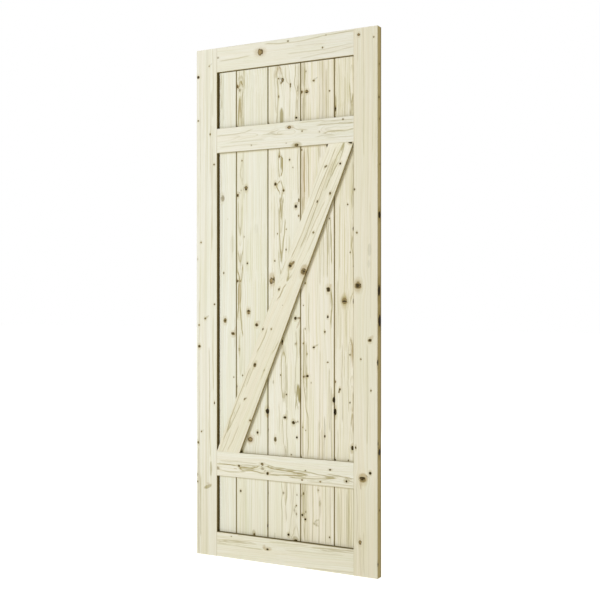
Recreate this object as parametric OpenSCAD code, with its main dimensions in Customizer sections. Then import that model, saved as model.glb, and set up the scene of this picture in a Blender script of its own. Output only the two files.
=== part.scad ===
// Barn door: a framed, ledged and braced softwood door with a V-jointed matchboard panel.
//
// Two full-height stiles and two butted rails make a grooved frame. Five tongued and grooved
// boards float in the groove. Two ledges (the mid rails) and a diagonal brace are planted on
// the front of the boards, flush with the frame, and are screwed through from the back.
// The origin is the middle of the bottom edge. +Z is up, and the front of the door faces -Y.

/* [Door] */
// Height of the door
door_h = 2134; // [1900:1:2450]
// Width of the door
door_w = 838; // [760:1:1000]
// Thickness of the frame
door_t = 35; // [33:1:50]

/* [Frame] */
// Width of each stile
stile_w = 102; // [85:1:125]
// Height of the top rail and of the bottom rail
end_rail_h = 102; // [85:1:150]
// Width of the arris planed off the long edges
arris = 0.8; // [0.4:0.1:1.5]
// Depth of the panel groove in the frame
groove_depth = 9; // [9:0.5:12]

/* [Ledges and brace] */
// Height of each mid rail
mid_rail_h = 102; // [85:1:125]
// Distance from the end of the door to the nearer edge of the mid rail
mid_rail_inset = 339; // [280:1:420]
// Thickness of the mid rails and of the brace
ledge_t = 12; // [12:0.5:16]
// Width of the brace, measured square to its length
brace_w = 102; // [85:1:125]

/* [Boards] */
// Thickness of the boards
board_t = 12; // [11.5:0.5:16]
// Width that each of the three middle boards covers
board_cover = 152; // [135:1:165]
// Width and depth of the chamfer on the boards' front edges
chamfer = 3; // [1.5:0.5:4]
// Open joint between the shoulders of two boards
board_joint = 1; // [0.2:0.1:2]
// Thickness of the tongues
tongue_t = 4; // [3:0.5:4.5]
// Length of a tongue in its groove
tongue_l = 8; // [6:0.5:8]
// Distance from the face of a board to its tongue
tongue_set = 5; // [4.5:0.5:6]
// Shadow gap between the boards and the stiles
side_gap = 4; // [2:0.5:6]
// Shadow gap between the boards and the top and bottom rails
end_gap = 2; // [1:0.5:4]

/* [Fixings] */
// Diameter of the frame dowels
dowel_d = 10; // [8:1:12]
// Length of the frame dowels
dowel_l = 80; // [60:1:100]
// Diameter of the mid rail dowels
small_dowel_d = 6; // [5:0.5:7]
// Length of the mid rail dowels
small_dowel_l = 30; // [24:1:40]
// Distance between the two dowels or screws of a pair
pair_spacing = 52; // [40:1:58]
// Diameter of the screws
screw_d = 4; // [3.5:0.5:4.5]
// Diameter of the screw heads
screw_head_d = 8; // [7:0.5:9]
// Wood left between a screw's tip and the front of the ledge
screw_cover = 4; // [3:0.5:5]

/* [Hidden] */
$fn = 48;

tongue_clearance = 0.1; // on each face of a tongue, and past a tongue's end corners
slot_end_play = 0.5;    // past the end of a board's tongue in the next board's slot
bore_clearance = 0.1;   // around each dowel and screw
dowel_end_play = 0.5;   // past each end of a dowel
dowel_bevel = 1;        // on the ends of the dowels
cut = 1;                // how far a cutter runs past the face that it opens

// The frame and its opening
front_y = -door_t / 2;
panel_half = door_w / 2 - stile_w;
panel_w = 2 * panel_half;
panel_bottom = end_rail_h;
panel_top = door_h - end_rail_h;

// The panel, counted back from the front of the frame
board_front = front_y + ledge_t;
board_back = board_front + board_t;
tongue_front = board_front + tongue_set;
slot_front = tongue_front - tongue_clearance;
slot_t = tongue_t + 2 * tongue_clearance;
board_slot_depth = tongue_l + slot_end_play;
board_count = 5;
middle_span = (board_count - 2) * board_cover;
board_bottom = panel_bottom + end_gap;
board_top = panel_top - end_gap;

// The ledges and the brace between them
lower_rail_z = mid_rail_inset;
upper_rail_z = door_h - mid_rail_inset - mid_rail_h;
brace_bottom = lower_rail_z + mid_rail_h;
brace_top = upper_rail_z;
brace_rise = brace_top - brace_bottom;
// Lean of the brace from upright: its edges meet two opposite corners of the opening
brace_lean = acos(brace_w / norm([panel_w, brace_rise])) - atan2(brace_rise, panel_w);

// The screws
screw_l = ledge_t + board_t - screw_cover;
screw_tip_l = 3;
screw_tip_d = 0.8;
screw_sink = 0.3;
head_edge = 0.4; // the upright rim of the head
recess_w = 1.2;
recess_span = 4.4;
recess_depth = 1.5;
end_screw_inset = 70; // from the stile to the brace's first and last screw
screw_margin = 2;     // wood between a dowel and a screw's head
dowel_reach = small_dowel_l / 2 + dowel_end_play + screw_head_d / 2 + screw_margin;

// Where each board's shoulders stand: 1 to 5 from the left
function seam_x(i) = -middle_span / 2 + (i - 1) * board_cover;
function board_left(i) = i == 1 ? -panel_half + side_gap : seam_x(i - 1) + board_joint / 2;
function board_right(i) = i == board_count ? panel_half - side_gap : seam_x(i) - board_joint / 2;
function board_middle(i) = (board_left(i) + board_right(i)) / 2;

// Height of the brace's centre line above x
function brace_z(x) = (brace_bottom + brace_top) / 2 + x / tan(brace_lean);

// Where a mid rail is screwed to each board: in its middle, or clear of the rail's own dowels
function screw_x(i) =
    i == 1 ? max(board_middle(i), -panel_half + dowel_reach) :
    i == board_count ? min(board_middle(i), panel_half - dowel_reach) :
    board_middle(i);

function pair_z(z) = [z - pair_spacing / 2, z + pair_spacing / 2];
function mid_rail_points(z) =
    [for (i = [1:board_count], h = pair_z(z + mid_rail_h / 2)) [screw_x(i), h]];
function across_brace(x, d) = [x + d * cos(brace_lean), brace_z(x) - d * sin(brace_lean)];
brace_points = concat(
    [for (side = [-1, 1]) across_brace(side * (panel_half - end_screw_inset), 0)],
    [for (i = [2:board_count - 1], side = [-1, 1])
        across_brace(board_middle(i), side * pair_spacing / 2)]
);
screw_points = concat(mid_rail_points(lower_rail_z), mid_rail_points(upper_rail_z), brace_points);

// A bar's section: w by t, with the arris off the edges at y = 0 and, if both, at y = t
module bar_section(w, t, both) {
    back = both ? arris : 0;
    polygon([
        [0, arris], [arris, 0], [w - arris, 0], [w, arris],
        [w, t - back], [w - back, t], [back, t], [0, t - back]
    ]);
}

// A bar that lies along X: its section turned so that its width runs up
module level_bar(l, h, t, both) {
    translate([l / 2, 0, 0])
        rotate([0, -90, 0])
            linear_extrude(l) bar_section(h, t, both);
}

module box(low, high) {
    translate(low) cube(high - low);
}

// A round pin along X with bevelled ends
module dowel(d, l) {
    rotate([0, 90, 0])
        rotate_extrude()
            polygon([
                [0, -l / 2], [d / 2 - dowel_bevel, -l / 2], [d / 2, -l / 2 + dowel_bevel],
                [d / 2, l / 2 - dowel_bevel], [d / 2 - dowel_bevel, l / 2], [0, l / 2]
            ]);
}

// The bores that the dowels sit in, at both ends of a rail
module dowel_bores(d, l, y, heights) {
    bore_l = l + 2 * dowel_end_play;
    for (side = [-1, 1], z = heights)
        translate([side * panel_half, y, z])
            rotate([0, 90, 0])
                cylinder(d = d + 2 * bore_clearance, h = bore_l, center = true);
}

module dowels(d, l, y, heights) {
    for (side = [-1, 1], z = heights)
        translate([side * panel_half, y, z]) dowel(d, l);
}

module frame_bores(z) {
    dowel_bores(dowel_d, dowel_l, 0, pair_z(z));
}

module mid_rail_bores(z) {
    dowel_bores(small_dowel_d, small_dowel_l, front_y + ledge_t / 2, pair_z(z + mid_rail_h / 2));
}

// A countersunk screw's outline turned about its axis, head up: grown by a clearance, with the
// top of the head at rim
module screw_body(grow, rim) {
    head_r = screw_head_d / 2 + grow;
    shank_r = screw_d / 2 + grow;
    rotate_extrude()
        polygon([
            [0, rim],
            [head_r, rim],
            [head_r, -head_edge],
            [shank_r, -head_edge - (screw_head_d - screw_d) / 2],
            [shank_r, -screw_l + screw_tip_l],
            [screw_tip_d / 2 + grow, -screw_l - grow],
            [0, -screw_l - grow]
        ]);
}

// Puts a screw's axis through the panel from the back, at [x, z]
module from_back(p) {
    translate([p[0], board_back - screw_sink, p[1]])
        rotate([-90, 0, 0]) children();
}

module screw(p) {
    from_back(p)
        difference() {
            screw_body(0, 0);
            for (turn = [0, 90])
                rotate([0, 0, turn])
                    translate([-recess_span / 2, -recess_w / 2, -recess_depth])
                        cube([recess_span, recess_w, recess_depth + cut]);
        }
}

module screw_holes(points) {
    for (p = points) from_back(p) screw_body(bore_clearance, screw_sink + cut);
}

// A stile: the left one as it stands. Its groove takes the rails' stub tenons and the boards.
module stile() {
    difference() {
        translate([-door_w / 2, front_y, 0])
            linear_extrude(door_h) bar_section(stile_w, door_t, true);
        box([-panel_half - groove_depth, slot_front, -cut],
            [-panel_half + cut, slot_front + slot_t, door_h + cut]);
        frame_bores(end_rail_h / 2);
        frame_bores(door_h - end_rail_h / 2);
        mid_rail_bores(lower_rail_z);
        mid_rail_bores(upper_rail_z);
    }
}

// The bottom rail: butted between the stiles, with a groove along its top for the boards
module end_rail() {
    tenon = panel_half + tongue_l;
    difference() {
        union() {
            translate([0, front_y, 0]) level_bar(panel_w, end_rail_h, door_t, true);
            box([-tenon, tongue_front, 0], [tenon, tongue_front + tongue_t, end_rail_h - groove_depth]);
        }
        box([-tenon - cut, slot_front, end_rail_h - groove_depth],
            [tenon + cut, slot_front + slot_t, end_rail_h + cut]);
        frame_bores(end_rail_h / 2);
    }
}

module mid_rail(z) {
    difference() {
        translate([0, front_y, z]) level_bar(panel_w, mid_rail_h, ledge_t, false);
        mid_rail_bores(z);
        screw_holes(mid_rail_points(z));
    }
}

// One board: its body between the end shoulders, its edge tongues and its end tongues
module board(i) {
    left = board_left(i);
    right = board_right(i);
    slotted = i > 1;
    left_tongue = slotted ? 0 : side_gap + tongue_l;
    right_tongue = i < board_count ? tongue_l : side_gap + tongue_l;
    // A tongue in a stile's groove runs on to the rails, which closes the frame's corners
    left_run = slotted ? 0 : end_gap - tongue_clearance;
    right_run = i < board_count ? 0 : end_gap - tongue_clearance;
    difference() {
        union() {
            translate([0, 0, board_bottom])
                linear_extrude(board_top - board_bottom)
                    polygon([
                        [left + chamfer, board_front], [right - chamfer, board_front],
                        [right, board_front + chamfer], [right, board_back],
                        [left, board_back], [left, board_front + chamfer]
                    ]);
            if (!slotted) edge_tongue(left - left_tongue, left + cut, left_run);
            edge_tongue(right - cut, right + right_tongue, right_run);
            edge_tongue(
                left + (slotted ? board_slot_depth : 0),
                right + (i < board_count ? tongue_l : 0),
                end_gap + tongue_l
            );
        }
        if (slotted)
            box([left - cut, slot_front, board_bottom - cut],
                [left + board_slot_depth, slot_front + slot_t, board_top + cut]);
        screw_holes(screw_points);
    }
}

// A tongue between two places across the door, run past the boards' end shoulders
module edge_tongue(from_x, to_x, run) {
    box([from_x, tongue_front, board_bottom - run],
        [to_x, tongue_front + tongue_t, board_top + run]);
}

module left_stile() {
    color("#e6dcbf") stile();
}

module right_stile() {
    color("#e6dcbf") mirror([1, 0, 0]) stile();
}

module bottom_rail() {
    color("#e9e0c6") end_rail();
}

module top_rail() {
    color("#e9e0c6") translate([0, 0, door_h]) mirror([0, 0, 1]) end_rail();
}

module upper_mid_rail() {
    color("#e8dec2") mid_rail(upper_rail_z);
}

module lower_mid_rail() {
    color("#e8dec2") mid_rail(lower_rail_z);
}

// The brace: a bar laid along its lean, with both ends cut level where it meets the mid rails
module diagonal_brace() {
    long = brace_rise / cos(brace_lean) + 2 * brace_w;
    color("#eae1c8")
        difference() {
            intersection() {
                translate([0, front_y, (brace_bottom + brace_top) / 2])
                    rotate([0, brace_lean, 0])
                        translate([-brace_w / 2, 0, -long / 2])
                            linear_extrude(long) bar_section(brace_w, ledge_t, false);
                box([-panel_half, front_y - cut, brace_bottom], [panel_half, board_front + cut, brace_top]);
            }
            screw_holes(brace_points);
        }
}

module board_1() {
    color("#e7dec4") board(1);
}

module board_2() {
    color("#e3d9bb") board(2);
}

module board_3() {
    color("#e8dfc6") board(3);
}

module board_4() {
    color("#e2d8b9") board(4);
}

module board_5() {
    color("#e5dbbf") board(5);
}

module top_rail_dowels() {
    color("#d8bf94") dowels(dowel_d, dowel_l, 0, pair_z(door_h - end_rail_h / 2));
}

module bottom_rail_dowels() {
    color("#d8bf94") dowels(dowel_d, dowel_l, 0, pair_z(end_rail_h / 2));
}

module mid_rail_dowels(z) {
    color("#d8bf94")
        dowels(small_dowel_d, small_dowel_l, front_y + ledge_t / 2, pair_z(z + mid_rail_h / 2));
}

module upper_mid_rail_dowels() {
    mid_rail_dowels(upper_rail_z);
}

module lower_mid_rail_dowels() {
    mid_rail_dowels(lower_rail_z);
}

module screws(points) {
    color("#c9c6bc")
        for (p = points) screw(p);
}

module upper_mid_rail_screws() {
    screws(mid_rail_points(upper_rail_z));
}

module lower_mid_rail_screws() {
    screws(mid_rail_points(lower_rail_z));
}

module brace_screws() {
    screws(brace_points);
}

left_stile();
right_stile();
top_rail();
bottom_rail();
upper_mid_rail();
lower_mid_rail();
diagonal_brace();
board_1();
board_2();
board_3();
board_4();
board_5();
top_rail_dowels();
bottom_rail_dowels();
upper_mid_rail_dowels();
lower_mid_rail_dowels();
upper_mid_rail_screws();
lower_mid_rail_screws();
brace_screws();
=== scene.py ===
import math

import bpy
import numpy as np
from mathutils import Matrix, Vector


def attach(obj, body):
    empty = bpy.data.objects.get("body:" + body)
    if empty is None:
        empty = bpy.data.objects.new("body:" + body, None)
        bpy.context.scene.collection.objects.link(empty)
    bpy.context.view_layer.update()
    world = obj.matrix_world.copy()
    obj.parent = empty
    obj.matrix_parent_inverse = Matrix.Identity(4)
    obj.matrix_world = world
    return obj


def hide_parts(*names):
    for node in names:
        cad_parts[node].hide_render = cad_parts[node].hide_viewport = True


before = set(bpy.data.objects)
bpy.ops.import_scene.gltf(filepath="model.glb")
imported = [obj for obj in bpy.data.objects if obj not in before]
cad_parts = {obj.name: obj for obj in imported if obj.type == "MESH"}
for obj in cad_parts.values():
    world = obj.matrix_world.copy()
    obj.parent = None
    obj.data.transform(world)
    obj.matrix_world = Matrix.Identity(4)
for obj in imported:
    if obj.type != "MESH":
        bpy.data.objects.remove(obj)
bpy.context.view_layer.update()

# ---------------------------------------------------------------- the studio
# A plain pale floor in a white studio. A broad soft lamp stands in front and to the left, a
# little above the door's head, and a weaker one behind fills the back. The camera looks from the
# right, level with the middle of the door, and squares up its uprights.

scene = bpy.context.scene
scene.view_settings.view_transform = "Standard"

CAMERA_PLACE = (1.983, -3.552, 1.0694)
CAMERA_TURN = 28.304
CAMERA_SHIFT = 0.0026
DOOR_MIDDLE = (0, 0, 1.05)
WHITE = (1, 1, 1, 1)
ROOM_FILL = (0.225, 0.20, 0.118, 1)

camera = bpy.data.objects.new("camera", bpy.data.cameras.new("camera"))
scene.collection.objects.link(camera)
camera.data.lens = 60
camera.data.sensor_width = 36
camera.data.shift_y = CAMERA_SHIFT
camera.location = CAMERA_PLACE
camera.rotation_euler = (math.radians(90), 0, math.radians(CAMERA_TURN))
scene.camera = camera


def lamp(name, place, size, power, colour):
    """A rectangular soft box at a place, turned towards the middle of the door."""
    light = bpy.data.lights.new(name, "AREA")
    light.shape = "RECTANGLE"
    light.size, light.size_y = size
    light.energy = power
    light.color = colour
    made = bpy.data.objects.new(name, light)
    scene.collection.objects.link(made)
    made.location = place
    made.rotation_euler = (Vector(DOOR_MIDDLE) - Vector(place)).to_track_quat("-Z", "Y").to_euler()


lamp("key lamp", (-3.3, -5.4, 2.4), size=(1.25, 2.8), power=180, colour=(0.99, 1.0, 1.0))
lamp("back lamp", (-1.8, 3.6, 1.9), size=(1.6, 2.0), power=55, colour=(1.0, 0.98, 0.94))

# The walls look white, and fill the shadows with a dimmer, warmer light
world = bpy.data.worlds.new("studio")
scene.world = world
world.use_nodes = True
walls = world.node_tree
wall_colour = walls.nodes.new("ShaderNodeMix")
wall_colour.data_type = "RGBA"
wall_colour.inputs[6].default_value = ROOM_FILL
wall_colour.inputs[7].default_value = WHITE
looked_at = walls.nodes.new("ShaderNodeLightPath").outputs["Is Camera Ray"]
walls.links.new(looked_at, wall_colour.inputs[0])
walls.links.new(wall_colour.outputs[2], walls.nodes["Background"].inputs["Color"])


def new_finish(name):
    """A new material with its node tree and its shader."""
    made = bpy.data.materials.new(name)
    made.use_nodes = True
    return made, made.node_tree, made.node_tree.nodes["Principled BSDF"]


FLOOR_CORNERS = [(-30, -30, 0), (30, -30, 0), (30, 30, 0), (-30, 30, 0)]
floor_mesh = bpy.data.meshes.new("floor")
floor_mesh.from_pydata(FLOOR_CORNERS, [], [(0, 1, 2, 3)])
floor = bpy.data.objects.new("floor", floor_mesh)
scene.collection.objects.link(floor)
floor_paint, tree, paint = new_finish("floor paint")
paint.inputs["Base Color"].default_value = (0.5, 0.5, 0.5, 1)
paint.inputs["Roughness"].default_value = 0.9
paint.inputs["Emission Color"].default_value = WHITE
paint.inputs["Emission Strength"].default_value = 0.96
floor_mesh.materials.append(floor_paint)

# ---------------------------------------------------------------- the stiles
# Two full-height uprights of planed spruce, 102 x 35 mm, with a groove down the inner edge that
# holds the boards and the rails' stub tenons. Every long edge has its arris rounded off. All the
# timber of the door is worked the same way, so the tools for it are made here.

MM = 0.001
HAIR = 0.01
DOOR_H = 2134
HALF_DOOR = 419
FRONT = -17.5
BAR_W = 102
FRAME_T = 35
ARRIS = 0.8
GROOVE_DEPTH = 9
GROOVE_FROM, GROOVE_TO = 16.9, 21.1

# A face keeps its own tone up to this far from an edge, and its arris takes a share of the shade
FACE_EDGE = 1.4
ARRIS_SHADE = 0.4
# Painted shade on the outer side of the door's right stile, darker at the back than at the front
OUTER_FRONT_SHADE = 0.12
OUTER_SHADES = ((25, 0.16), (19, 0.0), (12, 0.0))


def eased_corner(across, depth, turn, shade):
    """A quarter round of the arris's radius: four points a third of a right angle apart about
    the corner's own centre, from a turn in degrees."""
    steps = np.radians(turn + np.array([0, 30, 60, 90]))
    return [(across + ARRIS * math.cos(a), depth + ARRIS * math.sin(a), shade, 0.0) for a in steps]


def bar_section(thick, groove=True, eased_back=True, inner=0.0, outer=0.0, shaded=0.0):
    """A bar's outline from its front left: straight sides between quarter rounds, and a square
    slot in the right-hand side. Each point is (across, depth, painted shade, side face that takes
    painted shade). inner and outer are the painted shades of the right and left sides, and
    shaded is painted shade added at the left one's front."""
    half = BAR_W / 2
    points = [(-half + FACE_EDGE, 0, 0, 0), (half - FACE_EDGE, 0, 0, 0)]
    points += eased_corner(half - ARRIS, ARRIS, -90, inner * ARRIS_SHADE)
    points += [(half, FACE_EDGE, inner, 0)]
    if groove:
        points += [
            (half, GROOVE_FROM, inner, 0),
            (half - GROOVE_DEPTH, GROOVE_FROM, 1, 0),
            (half - GROOVE_DEPTH, GROOVE_TO, 1, 0),
            (half, GROOVE_TO, inner, 0),
        ]
    if eased_back:
        points += [(half, thick - FACE_EDGE, inner, 0)]
        points += eased_corner(half - ARRIS, thick - ARRIS, 0, inner * ARRIS_SHADE)
        points += [(half - FACE_EDGE, thick, 0, 0), (-half + FACE_EDGE, thick, 0, 0)]
        points += eased_corner(-half + ARRIS, thick - ARRIS, 90, outer * ARRIS_SHADE)
        points += [(-half, thick - FACE_EDGE, outer * ARRIS_SHADE, outer)]
        points += [(-half, depth, outer * share, outer) for depth, share in OUTER_SHADES]
    else:
        points += [(half, thick, inner, 0), (-half, thick, shaded, outer)]
    points += [(-half, FACE_EDGE, shaded + outer * OUTER_FRONT_SHADE, outer)]
    points += eased_corner(-half + ARRIS, ARRIS, 180, 0)
    return points


def turned_over(section):
    """The same outline seen in a mirror, walked the right way round again."""
    return [(-p[0],) + tuple(p[1:]) for p in reversed(section)]


WINDOW_GAP = 0.3


def with_windows(places, windows):
    """Sorted places along a line, with those inside each window replaced by the window's own. A
    window is a middle and the offsets of its places from it."""
    for centre, offsets in windows:
        low, high = centre + offsets.min() - WINDOW_GAP, centre + offsets.max() + WINDOW_GAP
        places = np.concatenate([places[(places < low) | (places > high)], centre + offsets])
    return np.unique(np.round(places, 4))


# Offsets of the grid lines round a screw hole in millimetres, and round a pit in its radii
SCREW_WINDOW = np.array(
    [-8, -6.4, -5, -4.14, -4.1, -3.1, -2.1, -1, 0, 1, 2.1, 3.1, 4.1, 4.14, 5, 6.4, 8]
)
PIT_WINDOW = np.array(
    [-1.2, -1, -0.8, -0.65, -0.5, -0.375, -0.25, -0.125, 0, 0.125, 0.25, 0.375, 0.5, 0.65, 0.8, 1, 1.2]
)
FRONT_STEP, SIDE_STEP, ROW_STEP = 3.4, 7.0, 3.9
STEP_SLACK = 0.2
# Only a side wider than this holds a screw or a pit, and a window keeps this far from its ends
WIDE_SIDE = 20
END_GAP = 0.2


def outline_points(section, thick, screws, pits):
    """Each side of the outline cut into equal steps, smaller on the front. Across the back the
    steps near a screw are its window's own, and across the front so are those near a pit."""
    around = []
    for start, end in zip(section, section[1:] + section[:1]):
        start, end = np.array(start, float), np.array(end, float)
        on_front = max(start[1], end[1]) < HAIR
        on_back = min(start[1], end[1]) > thick - HAIR
        step = FRONT_STEP if on_front else SIDE_STEP
        count = max(1, math.ceil(math.hypot(*(end - start)[:2]) / step - STEP_SLACK))
        share = np.arange(count)[:, None] / count
        reach = end[0] - start[0]
        windows = []
        if abs(reach) > WIDE_SIDE and on_back:
            windows = [(s, SCREW_WINDOW) for s in sorted({s[1] for s in screws})]
        elif abs(reach) > WIDE_SIDE and on_front:
            windows = [(p[1], PIT_WINDOW * p[3]) for p in pits]
        if windows:
            low, high = sorted((start[0], end[0]))
            places = with_windows(start[0] + reach * share[:, 0], windows)
            places = places[(places > low + END_GAP) & (places < high - END_GAP)]
            places = np.concatenate([[start[0]], places if reach > 0 else places[::-1]])
            share = ((places - start[0]) / reach)[:, None]
        around.append(start + (end - start) * share)
    return np.concatenate(around)


SAWN_EDGE = 0.4
END_CLEAR = 1


def row_places(ends, screws, pits):
    """The rows along a timber: equal steps, with windows at screws and pits, and one more row
    just inside each end, so that the sawn end's own tone stays on the end."""
    rows = np.linspace(ends[0], ends[1], math.ceil((ends[1] - ends[0]) / ROW_STEP) + 1)
    windows = [(s, SCREW_WINDOW) for s in sorted({s[0] for s in screws})]
    windows += [(p[0], PIT_WINDOW * p[2]) for p in pits]
    rows = with_windows(rows, windows)
    middle_rows = rows[(rows > ends[0] + END_CLEAR) & (rows < ends[1] - END_CLEAR)]
    return np.concatenate(
        [[ends[0], ends[0] + SAWN_EDGE], middle_rows, [ends[1] - SAWN_EDGE, ends[1]]]
    )


# A countersunk hole: ring radii, how deep each is sunk, and how far out squares turn to rings
HOLE_RADII = [0, 1, 2.1, 4.1, 4.14]
HOLE_DEPTHS = [5, 5, 2.7, 0.7, 0]
HOLE_REACH = 8


def sunk_screws(along, across, depth, back, screws):
    """Screw holes in the back. A point's ring is the larger of its two offsets from the screw, and
    it is drawn in until it lies that far away, so squares of the grid turn to rings. The rings
    are then sunk: an upright rim, a cone at half a right angle and a hole down the middle."""
    for s_along, s_across in screws:
        up, over = along - s_along, across - s_across
        ring = np.maximum(abs(up), abs(over))
        near = back & (ring < HOLE_REACH + HAIR)
        roundness = np.clip((HOLE_REACH - ring) / 3, 0, 1)
        scale = 1 + roundness * (ring / np.maximum(np.hypot(up, over), 1e-6) - 1)
        along = np.where(near, s_along + up * scale, along)
        across = np.where(near, s_across + over * scale, across)
        depth = np.where(near, depth - np.interp(ring, HOLE_RADII, HOLE_DEPTHS), depth)
    return along, across, depth


def pitted(along, across, depth, front, pits):
    """Knots that have dried out and dropped: round-bottomed pits in the front. A pit's depth is
    its full depth times one less the square of the way out in radii, to the power 0.7."""
    for p_along, p_across, r_along, r_across, deep in pits:
        q = ((along - p_along) / r_along) ** 2 + ((across - p_across) / r_across) ** 2
        depth = np.where(front & (q < 1), depth + deep * np.clip(1 - q, 0, 1) ** 0.7, depth)
    return depth


def eased_rows(rows, at):
    """The rows' values at places along a timber, a smooth step from each row to the next: the
    share of the way squared, times three less twice that share."""
    rows = np.array(rows, float)
    k = np.clip(np.searchsorted(rows[:, 0], at) - 1, 0, len(rows) - 2)
    share = np.clip((at - rows[k, 0]) / (rows[k + 1, 0] - rows[k, 0]), 0, 1)
    share = (share * share * (3 - 2 * share))[:, None]
    return rows[k, 1:] + share * (rows[k + 1, 1:] - rows[k, 1:])


def grain_of(along, across, depth, heart, knots):
    """Where each point lies from the heart of the tree: across it, in front of it and along. Each
    knot of the face pushes the grain aside by nine tenths of its radius, most at its rim, and by
    a bell curve less further off, over about two and a half radii."""
    heart_across, heart_depth = eased_rows(heart, along).T
    side = across - heart_across
    for k_along, k_across, r_along, r_across in [k[:4] for k in knots if len(k) < 6]:
        off = (across - k_across) / r_across
        far = (along - k_along) / r_along
        fading = np.exp(-((off / 2.6) ** 2) - (far / 2.2) ** 2)
        side = side - 0.9 * r_across * np.tanh(off / 0.7) * fading
    return np.stack([side, heart_depth - depth, along], 1)


# Dark, red and ringed say how black a knot is, how rusty, and whether its rim is its darkest part
# A hole is black: a knot hole, or, where listed by the joints, painted shade
KNOT_KINDS = {
    "hole": (1.0, 0.2, 0.0),
    "black": (0.85, 0.25, 0.0),
    "dark": (0.6, 0.35, 0.0),
    "brown": (0.52, 0.6, 0.1),
    "rust": (0.38, 0.9, 0.7),
    "ringed": (0.5, 0.35, 1.0),
    "grey": (0.33, 0.1, 0.0),
    "faint": (0.12, 0.25, 0.0),
}
KNOT_SLOPE = 0.12
KNOT_REACH = 10
KNOT_PARTING = 4


def knots_at(along, across, depth, knots):
    """The way to the nearest knot, each offset divided by that knot's own radius, and how dark,
    red and ringed it is. Its weight fades evenly over its reach, and to nothing before another
    knot is nearer. A knot of the face slopes up and across as it goes in, and one with a depth
    of its own lies in the narrow side and is measured from that depth."""
    table = np.array([k[:4] for k in knots], float)
    kinds = np.array([KNOT_KINDS[k[4]] for k in knots])
    on_side = np.array([len(k) > 5 for k in knots])
    side_depth = np.array([k[5] if len(k) > 5 else 0 for k in knots])
    slope = KNOT_SLOPE * depth[:, None]
    over = across[:, None] - table[:, 1]
    over = np.where(on_side, abs(depth[:, None] - side_depth) + abs(over), over + slope)
    up = along[:, None] - table[:, 0] - 0.6 * slope
    way = np.stack([over / table[:, 3], up / table[:, 2]], 2)
    radius = np.sqrt(table[:, 2] * table[:, 3])
    gap = (np.hypot(way[..., 0], way[..., 1]) - 1) * radius
    order = np.argsort(gap, axis=1)
    point = np.arange(len(along))
    first = order[:, 0]
    nearest, second = gap[point, first], gap[point, order[:, 1]]
    reach = np.maximum(KNOT_REACH, 1.6 * radius[first])
    parting = np.clip((second - nearest) / KNOT_PARTING, 0, 1)
    weight = np.clip(1 - nearest / reach, 0, 1) * parting
    return np.column_stack([way[point, first], weight]), kinds[first]


STAIN_FULLNESS = 2.6


def stains_and_shade_at(along, across, stains_and_shade):
    """How olive, brown and grey the wood is stained, and how much painted shade it takes: leaning
    ovals, each one less the squares of its two ways out in radii. A stain is filled up so that it
    is even in its middle, and painted shade is left to grow all the way in."""
    colours = {"olive": 0, "brown": 1, "grey": 2, "shade": 3}
    total = np.zeros((len(along), 4))
    for s_along, s_across, r_along, r_across, lean, colour, amount in stains_and_shade:
        turn = math.radians(lean)
        up = (along - s_along) * math.cos(turn) + (across - s_across) * math.sin(turn)
        over = (across - s_across) * math.cos(turn) - (along - s_along) * math.sin(turn)
        q = np.clip(1 - (up / r_along) ** 2 - (over / r_across) ** 2, 0, 1)
        filled = q if colour == "shade" else np.clip(q * STAIN_FULLNESS, 0, 1)
        total[:, colours[colour]] += amount * filled
    return np.clip(total, 0, 1)


FACE_DEPTH = 4
LINE_FADE = 18
LINE_PARTING = 3


def flames_at(along, across, depth, flames):
    """How far each point lies across the grain from the nearest drawn ring line, in millimetres,
    with the line's power, which fades at its ends and halfway to the next line, and its tone."""
    away, power, tone = [], [], []
    for strength, brown, places, offsets in flames:
        rows = np.column_stack([places, offsets])
        rows = rows[np.argsort(rows[:, 0])]
        ends = np.minimum(along - rows[0, 0], rows[-1, 0] - along) / LINE_FADE
        away.append(across - eased_rows(rows, along)[:, 0])
        power.append(strength * np.clip(ends + 0.5, 0, 1))
        tone.append(brown)
    away, power = np.array(away), np.array(power)
    out_of_the_way = 60
    score = abs(away) + out_of_the_way * (power <= 0)
    order = np.argsort(score, axis=0)
    point = np.arange(len(along))
    gap = score[order[1], point] - score[order[0], point]
    apart = np.clip(gap / LINE_PARTING, 0, 1)
    weight = power[order[0], point] * apart * (depth < FACE_DEPTH)
    return np.column_stack([away[order[0], point], weight, np.array(tone)[order[0]]])


def tube_faces(rows, loop):
    """Four-sided faces between each row of points and the next, and one face over each end."""
    start = np.arange(rows - 1)[:, None] * loop
    first = (start + np.arange(loop)).ravel()
    following = (start + (np.arange(loop) + 1) % loop).ravel()
    faces = np.stack([first, following, following + loop, first + loop], 1).tolist()
    return faces + [np.arange(loop)[::-1].tolist(), (np.arange(loop) + (rows - 1) * loop).tolist()]


BOX_CORNERS = np.array(
    [[0, 0, 0], [0, 1, 0], [0, 1, 1], [0, 0, 1], [1, 0, 0], [1, 1, 0], [1, 1, 1], [1, 0, 1]]
)
BOX_SIDES = np.array(
    [[0, 3, 2, 1], [4, 5, 6, 7], [0, 1, 5, 4], [1, 2, 6, 5], [2, 3, 7, 6], [3, 0, 4, 7]]
)


PIT_SKIN = 3.5
SHARP_FROM = 35


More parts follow.
